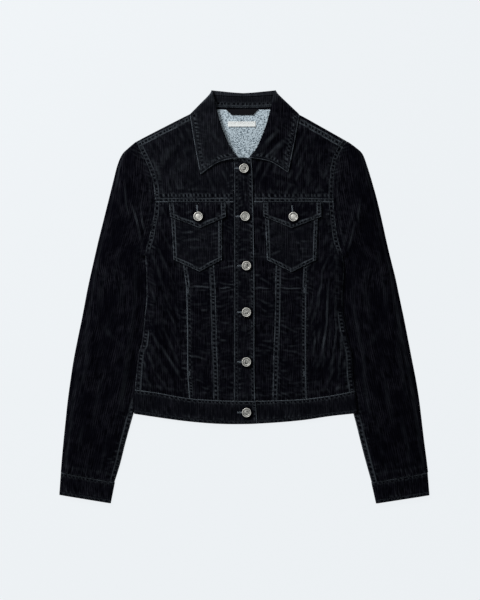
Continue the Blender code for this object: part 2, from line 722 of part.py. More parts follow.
def collar_sections():
    """Sections round the whole collar, from the right front corner to the left one."""
    at_fold = [6 + i / 4 for i in range(8)]
    stations = [0, 0.5, 1, 1.5, 2, 3, 4, 4.5, 5, 5.4, 5.7] + at_fold + [8, 8.4, 9, 10, 11, 12, 13]
    sections = []
    for side in SIDES:
        rows = collar_points(side)
        half = [{n: between([row[n] for row in rows], u) for n in rows[0]} for u in stations]
        sections.append(half)
    return sections[0] + sections[1][-2::-1]


def make_collar(cord):
    leaf, stand = [], []
    for section in collar_sections():
        line = [section[n] for n in ("join", "roll", "top", "belly", "edge")]
        across = [between(line, u / 2) for u in range(9)]
        leaf.append([Vector((p.x, p.y, max(p.z, LEAF_LOW))) for p in across])
        seam, join = section["seam"], section["join"]
        away = (seam - join).normalized()
        stand.append([(seam - away * NECK_GAP).lerp(join + away * JOIN_GAP, i / 2) for i in range(3)])
    sheet("collar_leaf", leaf, DOUBLE, 0.0, cord)
    sheet("collar_stand", stand, DOUBLE, 0.0, cord)


def lining_height(x, y):
    return back_height(x, y) + STEP


def on_lining(x, y):
    return lining_height(x, y) + LINING + GAP


def make_neck_pieces(facing, tape, label_cloth):
    half = lambda y: read(FACING_ROWS, y, 1)
    top_y, low_y = FACING_ROWS[0][0], FACING_ROWS[-1][0]
    plan = panel_plan(lambda y: -half(y), half, level(top_y), level(low_y), 8, 7)
    cloth("back_neck_facing", plan, lining_height, LINING, facing)
    top, bottom = (straight((x0, y), (x1, y), 6) for x0, x1, y in (LOOP["top"], LOOP["bottom"]))
    ends = [straight(top[k], bottom[k], 2) for k in (0, -1)]
    cloth("hanger_loop", patch(top, ends[1], bottom, ends[0]), on_lining, CLOTH, tape)
    x0, x1, y0, y1 = LABEL
    plan = panel_plan(upright(x0), upright(x1), level(y0), level(y1), 5, 1)
    cloth("neck_label", plan, on_lining, LINING, label_cloth)


def make_button(name, x, y, base, metal):
    """A shank button: its outline turned round its own axis, 0.3 mm clear of the cloth."""
    mesh = bpy.data.meshes.new(name)
    outline = [Vector((r, 0.0, z)) * MM for r, z in BUTTON_PROFILE] + [Vector((0.0, 0.0, 0.0))]
    mesh.from_pydata(outline, [(i, i + 1) for i in range(len(outline) - 1)], [])
    button = add_object(name, mesh, metal)
    button.location = Vector((x, y, base)) * MM
    turn = button.modifiers.new("Turn", "SCREW")
    turn.steps = BUTTON_STEPS
    turn.render_steps = BUTTON_STEPS
    turn.use_merge_vertices = True
    turn.merge_threshold = 0.05 * MM


def make_buttons(metal):
    for number, (x, y) in enumerate(FRONT_BUTTONS, 1):
        base = over_placket_height(x, y) + CLOTH
        if number == len(FRONT_BUTTONS):
            base = waistband_height("right", x, y) + DOUBLE
        make_button(f"button_front_{number}", x, y, base + GAP, metal)
    for side, (x, y) in FLAP_BUTTONS.items():
        make_button(f"button_flap_{side}", x, y, flap_height(side, x, y) + CLOTH + GAP, metal)


def clear_scene():
    for old in list(bpy.data.objects):
        bpy.data.objects.remove(old, do_unlink=True)


clear_scene()
jacket = bpy.data.collections.new("trucker_jacket")
bpy.context.scene.collection.children.link(jacket)
needlecord = finish("Needlecord", 0x12161E, 0.85)
facing_cloth = finish("Woven facing", 0xC3D2DA, 0.9)
loop_tape = finish("Hanger tape", 0x14161C, 0.8)
label_satin = finish("Label satin", 0xF2EEE4, 0.6)
old_nickel = finish("Antique nickel", 0xB4B4AC, 0.35, 1.0)
make_sleeves(needlecord)
make_cuffs(needlecord)
make_back(needlecord)
make_neck_pieces(facing_cloth, loop_tape, label_satin)
make_fronts(needlecord)
make_plackets(needlecord)
make_waistband(needlecord)
make_pockets(needlecord)
make_collar(needlecord)
make_buttons(old_nickel)
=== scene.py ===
"""How a needlecord trucker jacket looks, buttoned up and laid flat on its back, seen from straight above.

Sizes are in millimetres in the jacket's own frame: X runs across it, the wearer's right lies at -X, +Y
points to the collar and Z is up. MM turns them into metres when a mesh is made. The tables of seams and the
functions for how the layers lie on each other are those that the solids of the frame are made from, so each
piece of cloth lies where its solid is. A few places follow the photograph more closely than the solids do:
the front yoke's seam and the flaps' upper edge lie 1.6 and 1.4 mm lower, the tops of the sleeves 2 to 6 mm
higher, and the outer folds stand 1 to 3 mm prouder. Creases, puckers and stitches are added here, and the
greying of rubbed cloth, with painted highlights, painted shade and painted shadows in the cloth's colour.
"""

import math
from collections import namedtuple
from functools import partial

import bpy
import numpy as np
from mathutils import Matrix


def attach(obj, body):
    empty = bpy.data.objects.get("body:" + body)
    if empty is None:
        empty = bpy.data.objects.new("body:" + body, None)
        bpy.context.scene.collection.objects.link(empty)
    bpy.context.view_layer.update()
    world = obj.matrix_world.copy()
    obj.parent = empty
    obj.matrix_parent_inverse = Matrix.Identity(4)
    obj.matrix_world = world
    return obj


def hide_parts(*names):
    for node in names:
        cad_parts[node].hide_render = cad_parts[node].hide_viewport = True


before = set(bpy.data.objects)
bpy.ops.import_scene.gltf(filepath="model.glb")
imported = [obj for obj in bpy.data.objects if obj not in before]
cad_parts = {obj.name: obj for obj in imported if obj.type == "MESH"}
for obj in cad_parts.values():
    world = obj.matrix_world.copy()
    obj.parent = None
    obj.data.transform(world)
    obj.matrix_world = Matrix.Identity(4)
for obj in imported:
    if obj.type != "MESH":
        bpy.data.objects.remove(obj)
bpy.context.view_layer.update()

MM = 0.001

# ---- the jacket's sizes, as its solids have them -----------------------------------------------------------
CLOTH = 1.4  # needlecord, one layer
DOUBLE = 2.0  # collar, waistband and cuffs, two layers sewn and pressed
LINING = 1.0  # the woven facing that shows inside the neck
GAP = 0.3  # between pieces at a seam and between layers
STEP = CLOTH + GAP  # from one layer of cloth to the next
YOKE_Y = 169.6  # front yoke seam
BACK_YOKE_Y = 192.0  # back yoke seam
UNDERARM_Y = 74.0
SHOULDER_NECK = (65.5, 340.3)  # where shoulder seam, neck seam and collar meet
PUFF = {"right": 3.3, "left": 1.6}  # how far each front rises off the back, the right one over the left
SLEEVE_LIFT = 4.1  # the body's sides lie this high, on the sleeves tucked under them
SLEEVE_PRESSED = 0.4  # room left inside a sleeve where the body lies on it
SLEEVE_PUFF = 3.4  # and where nothing does
CUFF_PUFF = 1.2
TUCK_REACH = (36.0, 32.0)  # the body is lifted up to this far round a tucked sleeve, and slopes down so far
COLLAR_LIFT = DOUBLE + GAP  # the back yoke lies on the collar's turned-down back
COLLAR_LIFT_Y = (238.0, 64.0)  # it starts to rise at this y and is up after this length
RISE = 13.0  # how soon the front rises off the back beside the seam that holds them together
SHOULDER_FROM = 62.0  # the shoulder's outline is known from this x outwards
BACK_SEAM = (62.0, 0.055)  # half the back's centre panel at the waist, and how much it widens for each mm up
UNDER_PLACKET = 3.0  # the under placket stops this far short of the upper one's edge
UNDER_PLACKET_X = -16.5  # the left front's inner end, hidden under the right one's placket
NECK_GAP = 1.0  # where the collar's stand meets the yokes
LEAF_LOW = DOUBLE / 2 + 0.05  # the lowest that the middle of the collar's cloth lies
FLAP_TOP_Y = 169.0
FLAP_DROP = 13.0  # the flap leaves the yoke and lies on the pocket within this length
POCKET_TOP_Y = 156.0
NECK_FRONT_Y = 250.6  # the neck's front edge is a low arch over the placket
PLACKET_END_X = 1.0  # the waistband's end sticks out past the placket
# the facing inside the neck: y, then half its width
FACING_ROWS = ((337.6, 56.0), (300.0, 52.0), (264.0, 42.0), (240.0, 30.0))
LOOP = {"top": (-33.6, 25.7, 336.8), "bottom": (-22.6, 15.9, 326.3)}  # the hanger loop's x from, x to and y
LABEL = (-29.4, 20.8, 315.1, 305.4)  # x from, x to, top y, low y
LABEL_CURL = 1.1  # how far its free lower edge stands off the facing
SIDES = {"right": -1, "left": 1}

# y, then the x of the armhole and, under the arm, of the side seam, on the wearer's right and left
EDGE_ROWS = (
    (276, -193.0, 182.5),
    (260, -185.5, 172.5),
    (243, -176.9, 165.4),
    (213, -165.7, 161.5),
    (184, -160.8, 160.3),
    (159, -160.8, 161.0),
    (134, -164.6, 163.7),
    (110, -169.8, 167.0),
    (90, -175.2, 171.8),
    (74, -177.5, 176.6),
    (45, -176.0, 179.2),
    (0, -175.5, 176.2),
    (-35, -179.0, 178.5),
    (-82, -184.0, 187.5),
    (-102, -190.0, 193.0),
    (-140, -194.0, 195.0),
    (-170, -197.0, 199.5),
    (-212, -198.5, 203.5),
)
# y, then the x of the four seams down the fronts: right outer, right inner, left inner, left outer
SEAM_ROWS = (
    (176, -112.0, -58.0, 60.0, 116.0),
    (55, -109.0, -53.7, 56.5, 113.0),
    (17, -104.5, -51.5, 55.5, 111.5),
    (-45, -103.0, -49.6, 54.5, 111.0),
    (-95, -102.5, -48.6, 52.5, 111.0),
    (-138, -102.0, -46.6, 51.4, 111.2),
    (-190, -98.4, -45.8, 50.5, 112.0),
)
# y, then the x of the placket's seam and of its free edge
PLACKET_ROWS = (
    (250, -19.5, 12.2),
    (223, -19.5, 14.5),
    (171, -19.5, 15.6),
    (119, -19.5, 16.7),
    (18, -19.5, 18.3),
    (-111, -19.8, 18.2),
    (-187, -20.0, 19.6),
    (-230, -20.0, 22.6),
)
# x, then the y of the waistband's seam and of the hem
WAIST_ROWS = (
    (-199, -166.5, -210.0),
    (-159, -172.0, -216.5),
    (-103, -182.0, -224.0),
    (-50, -186.0, -228.3),
    (0, -187.3, -229.0),
    (50, -186.6, -226.8),
    (105, -184.0, -222.0),
    (153, -178.0, -215.0),
    (204, -168.0, -209.0),
)
# x from the middle, then the y of the shoulder seams' outline on the right and on the left
SHOULDER_ROWS = (
    (62, 342.0, 342.0),
    (98, 325.6, 325.3),
    (140, 304.4, 302.1),
    (182.5, 282.5, 278.2),
    (193, 276.8, 272.3),
)
# the sleeve where it hangs on the armhole: outer y, outer x on the right and left, then y on the armhole
CAP_ROWS = (
    (277, -196.2, 185.6, 278.6),
    (267, -208.0, 199.5, 258),
    (256, -219.0, 211.0, 240),
    (237, -227.5, 218.5, 214),
    (208, -235.0, 227.5, 188),
    (174, -243.5, 237.0, 162),
    (138, -252.5, 245.5, 136),
    (102, -261.5, 253.5, 108),
    (76, -267.5, 259.5, 90),
    (54, -272.5, 265.0, UNDERARM_Y),
)
# the sleeve below it: outer y, outer x right and left, then inner y and inner x right and left
ARM_ROWS = (
    (32, -277.5, 270.5, 64, -167.5, 167.5),
    (8, -282.5, 275.5, 46, -158.0, 158.0),
    (-16, -287.0, 280.5, 20, -153.5, 153.5),
    (-42, -292.0, 286.0, -12, -153.5, 153.5),
    (-78, -299.5, 293.0, -54, -159.5, 159.0),
    (-114, -306.5, 300.0, -98, -169.0, 168.0),
    (-150, -312.0, 307.0, -142, -179.5, 178.0),
    (-186, -317.0, 313.0, -184, -191.5, 189.0),
    (-222, -321.0, 317.8, -224, -203.0, 200.0),
    (-258, -324.8, 322.4, -264, -214.0, 210.0),
    (-287, -327.6, 326.4, -300, -223.0, 219.5),
    (-316, -330.0, 330.0, -333.6, -233.4, 229.0),
)
# the cuff's four corners on each side, from the seam down: outer x and y, inner x and y
CUFF_ROWS = {
    "right": ((-330.2, -316.0, -232.6, -333.8), (-333.0, -356.3, -240.0, -371.6)),
    "left": ((330.2, -316.0, 228.4, -333.8), (333.5, -357.0, 237.0, -372.0)),
}
# half the collar, from its front corner round to the middle of the back. Each row has the neck seam, where
# stand and leaf join, the roll, the top of the leaf behind the roll and the leaf's edge, each as x from the
# middle, y and z. In the first rows z counts from the front yoke's face and in the others from the floor.
COLLAR_COLUMNS = ("seam", "join", "roll", "top", "edge")
COLLAR_ROWS = (
    ((18.5, 251.8, 0.2), (14.8, 253.8, 0.8), (10.6, 249.4, 3.0), (17.0, 248.6, 5.0), (76.5, 222.4, 1.7)),
    ((36.0, 262.0, 0.0), (30.0, 267.5, 0.5), (23.6, 266.0, 2.7), (30.0, 264.5, 4.7), (82.5, 249.0, 1.7)),
    ((49.0, 283.0, 0.0), (40.4, 289.5, 0.4), (34.0, 288.5, 2.6), (40.4, 287.5, 4.6), (88.5, 277.0, 1.7)),
    ((57.5, 306.0, 0.0), (48.4, 311.0, 0.4), (42.0, 310.5, 2.6), (48.4, 309.5, 4.6), (94.0, 305.0, 1.7)),
    ((61.5, 327.0, 7.2), (54.8, 334.0, 7.6), (48.5, 334.0, 9.8), (54.8, 334.0, 11.8), (97.8, 323.5, 9.0)),
    ((62.0, 335.5, 7.3), (58.2, 349.0, 7.7), (52.6, 353.5, 9.8), (59.0, 349.0, 11.8), (98.4, 325.6, 9.2)),
    ((62.0, 340.5, 7.2), (58.8, 360.5, 7.4), (56.2, 368.0, 8.4), (61.4, 361.5, 10.4), (99.0, 327.2, 7.8)),
    ((62.6, 341.0, 5.4), (59.0, 361.8, 5.8), (57.0, 370.0, 5.9), (62.6, 362.8, 5.9), (99.8, 328.6, 5.0)),
    ((60.0, 340.4, 3.6), (56.2, 362.0, 4.6), (55.6, 370.0, 3.4), (60.0, 362.6, 1.4), (98.2, 327.0, 1.1)),
    ((51.0, 339.8, 3.3), (48.5, 361.8, 5.0), (49.5, 369.4, 3.1), (50.5, 361.8, 1.1), (91.0, 319.0, 1.0)),
    ((41.0, 339.2, 3.3), (39.5, 361.4, 5.0), (40.5, 368.5, 3.0), (41.0, 361.4, 1.1), (75.0, 312.0, 1.0)),
    ((29.0, 338.6, 3.3), (28.5, 360.8, 5.0), (29.0, 367.3, 3.0), (29.0, 360.8, 1.1), (54.0, 307.0, 1.0)),
    ((14.5, 338.4, 3.3), (14.5, 360.0, 5.0), (14.5, 366.0, 3.0), (14.5, 360.0, 1.1), (27.0, 305.0, 1.0)),
    ((0.0, 338.3, 3.3), (0.0, 359.5, 5.0), (0.0, 365.2, 3.0), (0.0, 359.5, 1.1), (0.0, 304.5, 1.0)),
)
COLLAR_OVER_FRONT = 4  # so many of the rows count z from the front yoke
LAST_FRONT_ROW = 5  # the seam meets the front yoke up to this row, folds at the shoulder
FIRST_BACK_ROW = 9  # and meets the back yoke from this one on
COLLAR_MIDDLES = (-1.2, -1.2, -1.2, -0.6, 0.6)  # the x of each column's middle
COLLAR_END_BOW = 6.5  # the leaf's short front edge is bowed this far
# chest pocket and flap: y at the side edges, x of the outer and inner edge, y of the point, x of the point
POCKET_ROWS = {
    "right": {"top": (-131.7, -40.0), "bottom": (-126.8, -40.0), "corner_y": 66.5, "point": (-80.4, 45.0)},
    "left": {"top": (36.8, 132.5), "bottom": (41.0, 129.0), "corner_y": 66.0, "point": (85.0, 44.4)},
}
FLAP_ROWS = {
    "right": {"top": (-135.0, -34.0), "bottom": (-133.0, -33.0), "corner_y": 143.5, "point": (-79.5, 123.0)},
    "left": {"top": (34.5, 138.0), "bottom": (34.5, 138.0), "corner_y": 144.0, "point": (86.0, 123.0)},
}
# the front's buttons, from the neck down, and the two flap buttons: x, y
FRONT_BUTTONS = ((-0.5, 230.5), (1.5, 144.3), (3.9, 55.7), (3.9, -27.8), (3.9, -117.0), (4.1, -207.8))
FLAP_BUTTONS = {"right": (-82.7, 144.2), "left": (87.9, 143.6)}
# the largest folds, as soft ridges: start x, y, end x, y, height, half width
SLEEVE_FOLDS = {
    "right": (
        (-217, 218, -207, 146, 2.6, 12),
        (-203, 174, -185, 100, 2.4, 11),
        (-188, 160, -177, 118, 1.6, 8),
        (-262, 20, -300, -190, 1.5, 16),
        (-196, -40, -236, -250, 1.4, 15),
    ),
    "left": (
        (211, 180, 180, 74, 2.8, 12),
        (208, 168, 204, 134, 1.6, 8),
        (258, 40, 290, -170, 1.5, 16),
        (206, -60, 226, -250, 1.4, 15),
    ),
}
BODY_FOLDS = (
    (-158, -80, -118, -168, 1.5, 11),
    (-172, -40, -132, -160, 1.3, 10),
    (128, 40, 138, -90, 1.2, 9),
    (146, 30, 150, -150, 1.5, 12),
    (166, 10, 160, -130, 1.2, 9),
)

# ---- what only the looks have ------------------------------------------------------------------------------
INSET = 0.12  # each piece stops this far short of its seam
FOLD_ROUND = 3.0  # how far in from the edge the cloth turns down where front and back are one fold
FOLD_INSET = 1.9  # and how far the lower layer stops short of that edge
UNDERARM_TUCK = 20.0  # how far the sleeve's lower half goes on under the body at the underarm
# how far the cloth's folds stand proud of their solids, along the shoulders and the outside of the sleeves
SHOULDER_PROUD = 2.8
SLEEVE_PROUD = {"right": 0.8, "left": 2.2}
COLLAR_DRAG = {"right": (-2.8, -2.8), "left": (1.7, 0.6)}  # how far each tip is dragged, in x and y
COLLAR_JOIN = 1.0  # between the stand and the leaf
COLLAR_PRESSED = (2.4, 1.2)  # how far in, across and down, the collar's outer corners are pressed
FOLD_FACES = (0.16, 0.08)  # how high over its lowest point a folded edge's outer and inner faces meet
FOLD_TUCK = (1.45, 0.8)  # and how far in from it the inner face starts to part, and within what
FACE_DOWN_ROOM = 0.42  # a face that looks down stays this high, so that what stitching lifts has room
EDGE_ROUND = 0.9  # a raw or turned edge rounds off over this width
EDGE_DROP = 0.4  # and drops by so much
NEAR_EDGE = (0.0, 0.35, 0.85, 1.5, 2.3)  # rows of mesh close to an edge, in mm from it
FINE = 1.75  # mesh spacing on the faces that look up
COARSE = 3.2  # and on those that lie on the floor
WEAR_AND_HIGHLIGHT_BY_BUMP = 1.9  # how fast the pile pales where the cloth stands up: rubbed wear, and a painted highlight on the crests
SHADE_BY_BUMP = 3.0  # and darkens in its hollows

STITCH = 2.5  # length of one stitch that shows
STITCH_PITCH = 3.3
ROW_ENDS = (0.7, 0.4)  # pitches from a row's ends to its first and last stitch
THREAD = 0.75  # thread thickness
SINK = 0.12  # how deep stitches lie in the pile
SINK_BELOW = 0.36  # and where the cloth's weight presses them up from the floor

# A stitched edge, in mm from it: the rubbed ridges and how pale they are, the rows of stitches, the middle
# and half width of the lines of small dents that the stitches pull in, how far the folded layers inside lift
# the cloth, how deep the dents are, and how broken the rubbed ridges are, from 0 to 1.
BAND_DIP = 0.42
Band = namedtuple("Band", "ridges rows dots lift dip ragged", defaults=((), (), (), 0.45, BAND_DIP, 0.85))
BANDS = {
    "armhole": Band(((0.0, 0.6), (7.0, 0.06)), (1.5, 6.7), ((4.1, 2.2),), 0.26),
    "yoke": Band(((0.7, 0.95), (6.6, 0.08)), (1.5, 5.9), ((3.7, 1.9), (12.4, 2.6)), 0.35, ragged=0.4),
    "seam": Band(((0.8, 0.6), (8.7, 0.22)), (1.9, 7.9), ((4.9, 2.3),)),
    "placket": Band(((2.0, 0.3),), (3.0, 8.2), ((5.8, 1.7),), 0.12, 0.14),
    "pocket": Band(((0.1, 0.95), (5.3, 0.3)), (1.3, 4.6), ((2.9, 1.4),)),
    "flap_side": Band(((0.1, 0.85), (6.9, 0.24)), (1.4, 6.2), ((3.8, 1.9),)),
    "flap_edge": Band(((0.1, 0.75), (5.6, 0.24)), (1.4, 4.9), ((3.1, 1.4),)),
    "mouth": Band(((0.3, 0.85),), (1.4,), ((4.4, 1.6),), 0.25, ragged=0.25),
    "edge": Band(((-0.4, 1.0), (0.2, 0.7)), (1.4,), ((3.8, 1.6),), 0.15, 0.4, 0.12),
    "side": Band(((0.1, 0.65),), lift=0.0),
    "side_double": Band(((0.2, 0.35), (9.9, 0.16)), (9.0,), ((5.4, 2.4),), 0.3),
    "shoulder_right": Band(((5.0, 0.18), (10.6, 0.5)), (5.6, 9.8), ((7.6, 1.8),), 0.35, 0.6),
    "shoulder_left": Band(((6.9, 0.5), (14.1, 0.55)), (7.8, 13.2), ((10.4, 1.8),), 0.35, 0.6),
    "collar": Band(((-0.1, 0.9),), (4.2,), ((7.0, 1.9),), 0.06, ragged=0.5),
    "neck": Band(((1.0, 0.5), (4.6, 0.2)), (2.4,), ((7.0, 2.0),), 0.2),
    "waist": Band(((0.0, 0.8),), (1.3,), ((3.5, 1.5),), 0.25, ragged=0.5),
    "hem": Band((), (5.4,), ((3.2, 1.3),), 0.15, 0.15),
    "cuff": Band(((0.1, 0.5),), (1.4,), ((3.6, 1.4),), 0.25, 0.3),
    "under": Band(lift=0.0),
}
DENT_PITCH = 7.5
RIDGE_WIDTH = 0.8
RUNG = 0.1  # how pale the cloth between two dents is painted, as a highlight where it puffs up
PUCKER = 0.42  # height of the small gathers that a stitched edge pulls into the cloth beside it
PUCKER_REACH = 7.5

# the four sides of a piece's plan, and how a grid turns so that a side becomes its first column, and back
SQUARE = ("left", "right", "top", "bottom")
TURNED = {
    "left": lambda grid: grid,
    "right": lambda grid: grid[:, ::-1],
    "top": lambda grid: grid.swapaxes(0, 1),
    "bottom": lambda grid: grid[::-1].swapaxes(0, 1),
}
TURNED_BACK = dict(TURNED, bottom=lambda grid: grid.swapaxes(0, 1)[::-1])
# the sides of a plan that lie outwards and inwards, on the jacket's right and left
OUT_AND_IN = {"right": ("left", "right"), "left": ("right", "left")}
PLAIN = dict.fromkeys(SQUARE)  # a piece with no stitched side


# ---- curves through the tables -----------------------------------------------------------------------------
def smooth(t):
    """0 below t = 0, 1 above t = 1 and an even rise between."""
    t = np.clip(t, 0.0, 1.0)
    return t * t * (3.0 - 2.0 * t)


def read(rows, at, column):
    """A table's column, on a smooth curve through the rows, at these places of its first column."""
    rows = sorted(rows)
    place = np.array([row[0] for row in rows], float)
    value = np.array([row[column] for row in rows], float)
    last = len(rows) - 1
    steps = np.arange(last + 1)
    before, after = np.clip(steps - 1, 0, last), np.clip(steps + 1, 0, last)
    slope = (value[after] - value[before]) / (place[after] - place[before])
    at = np.asarray(at, float)
    i = np.clip(np.searchsorted(place, at, side="right") - 1, 0, last - 1)
    span = place[i + 1] - place[i]
    t = (at - place[i]) / span
    rise = value[i] + (value[i + 1] - value[i]) * (3.0 - 2.0 * t) * t * t
    return rise + span * t * (1.0 - t) * (slope[i] * (1.0 - t) - slope[i + 1] * t)


def between(points, u):
    """The points at u = 0, 1, 2 ... on a smooth curve through points. Rows of u give rows of points."""
    points = np.asarray(points, float)
    last = len(points) - 1
    u = np.asarray(u, float)
    i = np.clip(u.astype(int), 0, last - 1)
    t = (u - i).reshape(u.shape + (1,) * (points.ndim - 1))
    p0, p1, p2, p3 = (points[np.clip(i + k, 0, last)] for k in (-1, 0, 1, 2))
    bend, twist = 2 * p0 - 5 * p1 + 4 * p2 - p3, 3 * p1 - p0 - 3 * p2 + p3
    return 0.5 * (2 * p1 + (p2 - p0) * t + bend * t**2 + twist * t**3)


NOISE_CELLS = 61  # the noise repeats after so many bumps


def noise(x, y, seed):
    """Smooth value noise from 0 to 1, with about one bump in each unit of x and y."""
    table = np.random.default_rng(seed).random((NOISE_CELLS, NOISE_CELLS))
    i, j = np.floor(x).astype(int), np.floor(y).astype(int)
    s, t = smooth(x - i), smooth(y - j)
    corner = lambda di, dj: table[(i + di) % NOISE_CELLS, (j + dj) % NOISE_CELLS]
    low = corner(0, 0) * (1 - s) + corner(1, 0) * s
    high = corner(0, 1) * (1 - s) + corner(1, 1) * s
    return low * (1 - t) + high * t


def column_of(side):
    return 1 if side == "right" else 2


def edge_x(side, y):
    return read(EDGE_ROWS, y, column_of(side))


def seam_x(side, which, y):
    column = {"right": {"outer": 1, "inner": 2}, "left": {"inner": 3, "outer": 4}}[side][which]
    return read(SEAM_ROWS, y, column)


def placket_x(which, y):
    return read(PLACKET_ROWS, y, 1 if which == "seam" else 2)


def under_placket_x(y):
    return placket_x("edge", y) - UNDER_PLACKET


def waist_y(x):
    return read(WAIST_ROWS, x, 1)


def hem_y(x):
    return read(WAIST_ROWS, x, 2)


def level(y):
    return lambda x: y + 0.0 * np.asarray(x, float)


def upright(x):
    return lambda y: x + 0.0 * np.asarray(y, float)


def shoulder_y(side, x):
    return read(SHOULDER_ROWS, np.abs(x), column_of(side)) + SHOULDER_PROUD


def back_seam_x(y):
    return BACK_SEAM[0] + BACK_SEAM[1] * (y - waist_y(0.0))


# ---- heights: how the layers lie on each other -------------------------------------------------------------
def to_segment(x, y, x0, y0, x1, y1):
    """How far points are from a straight piece, and where along it, from 0 to 1, it is nearest."""
    dx, dy = x1 - x0, y1 - y0
    t = np.clip(((x - x0) * dx + (y - y0) * dy) / (dx * dx + dy * dy), 0.0, 1.0)
    return np.hypot(x - x0 - t * dx, y - y0 - t * dy), t


def hidden_sleeve_lift(side, x, y):
    """0 to 1: how far the sleeve tucked under this side of the body lifts it here."""
    column = 4 if side == "right" else 5
    line = [(edge_x(side, UNDERARM_Y), UNDERARM_Y)] + [(row[column], row[3]) for row in ARM_ROWS[:9]]
    away = np.full(np.shape(x), 1e6)
    for (x0, y0), (x1, y1) in zip(line, line[1:]):
        away = np.minimum(away, to_segment(x, y, x0, y0, x1, y1)[0])
    levels = sorted((p[1], abs(p[0])) for p in line)
    inner = np.interp(y, [p[0] for p in levels], [p[1] for p in levels])
    on_top = (y <= UNDERARM_Y) & (y >= line[-1][1]) & (np.abs(x) >= inner) & (np.sign(x) == SIDES[side])
    return smooth((TUCK_REACH[0] - np.where(on_top, 0.0, away)) / TUCK_REACH[1])


def back_height(x, y):
    """The underside of the back: on the floor, but over a tucked sleeve and over the collar's back."""
    lift = np.maximum(hidden_sleeve_lift("right", x, y), hidden_sleeve_lift("left", x, y))
    return np.maximum(SLEEVE_LIFT * lift, COLLAR_LIFT * smooth((y - COLLAR_LIFT_Y[0]) / COLLAR_LIFT_Y[1]))


def closing(distance):
    """How far the front has risen off the back, 0 to 1, this far from the seam that holds them together."""
    return 1.0 - np.exp(-np.maximum(0.0, distance) / RISE)


def folds(table, x, y):
    """The height that soft ridges add."""
    total = np.zeros(np.shape(x))
    for x0, y0, x1, y1, height, half in table:
        away, along = to_segment(x, y, x0, y0, x1, y1)
        total += height * np.exp(-((away / half) ** 2)) * np.sin(math.pi * (0.12 + 0.76 * along))
    return total


def held_off(side, x, y):
    """How far the front has risen off the back, 0 to 1."""
    to_side = closing(np.abs(edge_x(side, y)) - np.abs(x))
    held = to_side + (1.0 - to_side) * smooth((y - UNDERARM_Y) / 40.0)
    return held * closing(y - hem_y(x)) * closing(shoulder_y(side, np.maximum(np.abs(x), SHOULDER_FROM)) - y)


def front_height(side, x, y):
    """The underside of a front, over the back."""
    return back_height(x, y) + STEP + PUFF[side] * held_off(side, x, y)


def over_placket_height(x, y):
    return front_height("left", x, y) + STEP


def waistband_height(side, x, y):
    to_side = closing(np.abs(edge_x(side, y)) - np.abs(x))
    low = back_height(x, y) + DOUBLE + GAP + PUFF["left"] * to_side * closing(y - hem_y(x))
    if side == "left":
        return low
    return low + (DOUBLE + GAP) * smooth((x + 150.0) / 120.0) * to_side


def flap_height(side, x, y):
    return front_height(side, x, y) + STEP + STEP * smooth((FLAP_TOP_Y - y) / FLAP_DROP)


def from_body(side, x, y):
    """How far a point of a sleeve is from the side of the body that lies on it, 0 under the body."""
    out = np.maximum(0.0, np.abs(x) - np.abs(edge_x(side, y)))
    past = np.maximum(0.0, np.maximum(y - UNDERARM_Y, hem_y(x) - y))
    return np.hypot(out, past)


def sleeve_height(side, t, u, x, y):
    """The underside of the sleeve's upper half. t runs from the outer fold inwards, u down the sleeve."""
    cap = len(CAP_ROWS) - 1
    rise = smooth(t / 0.2)
    free = smooth((from_body(side, x, y) - 3.0) / 26.0)
    puff = SLEEVE_PRESSED + (SLEEVE_PUFF - SLEEVE_PRESSED) * free
    closed = puff * rise * smooth((1.0 - t) / 0.16)
    at_seam = front_height(side, x, np.maximum(y, UNDERARM_Y + 0.01)) - STEP
    open_top = rise * (SLEEVE_PUFF + (at_seam - SLEEVE_PUFF) * smooth((t - 0.35) / 0.6))
    by_seam = smooth((t - 0.7) / 0.25)
    joined = smooth((cap + 0.4 * by_seam - u) / (3.0 - 2.4 * by_seam))
    relief = folds(SLEEVE_FOLDS[side], x, y) * rise * smooth((0.98 - t) / 0.2) * free
    return STEP + closed * (1.0 - joined) + open_top * joined + relief, free


# ---- plans of the pieces -----------------------------------------------------------------------------------
def stations(length, step):
    """Fractions from 0 to 1 along this length, a step apart but closer to both ends."""
    near = np.array(NEAR_EDGE)
    count = max(2, int(round((length - 2 * near[-1]) / step)) + 1)
    middle = np.linspace(near[-1], length - near[-1], count)[1:-1]
    return np.concatenate([near, middle, length - near[::-1]]) / length


def lengths(line):
    """How far along each point of a line is."""
    return np.concatenate([[0.0], np.cumsum(np.linalg.norm(np.diff(line, axis=0), axis=1))])


def at_fractions(line, fractions):
    """The points at these fractions of a line's length."""
    line = np.asarray(line, float)
    run = lengths(line)
    return np.stack([np.interp(fractions * run[-1], run, line[:, k]) for k in range(line.shape[1])], -1)


def patch(top, right, bottom, left, step=FINE):
    """A grid of plan points between four lines. Top and bottom run to the right, left and right run down."""
    across = stations(0.5 * (lengths(top)[-1] + lengths(bottom)[-1]), step)
    down = stations(0.5 * (lengths(left)[-1] + lengths(right)[-1]), step)
    top, bottom = at_fractions(top, across), at_fractions(bottom, across)
    left, right = at_fractions(left, down), at_fractions(right, down)
    u, v = across[None, :, None], down[:, None, None]
    corners = (1 - u) * ((1 - v) * top[0] + v * bottom[0]) + u * ((1 - v) * top[-1] + v * bottom[-1])
    return (1 - u) * left[:, None] + u * right[:, None] + (1 - v) * top[None] + v * bottom[None] - corners


def straight(*points):
    """A line of close points through a few corners."""
    parts = []
    for a, b in zip(points, points[1:]):
        t = np.linspace(0, 1, 40)[:, None]
        parts.append(np.array(a) * (1 - t) + np.array(b) * t)
    return np.concatenate([parts[0]] + [part[1:] for part in parts[1:]])


def line_down(x_at, y_from, y_to):
    y = np.linspace(y_from, y_to, 240)
    return np.stack([x_at(y), y], -1)


def line_across(y_at, x_from, x_to):
    x = np.linspace(x_from, x_to, 240)
    return np.stack([x, y_at(x)], -1)


def meeting(x_at, y_at, start_y):
    """The y at which a seam running down meets a seam running across."""
    y = start_y
    for _ in range(6):
        y = float(y_at(x_at(y)))
    return y


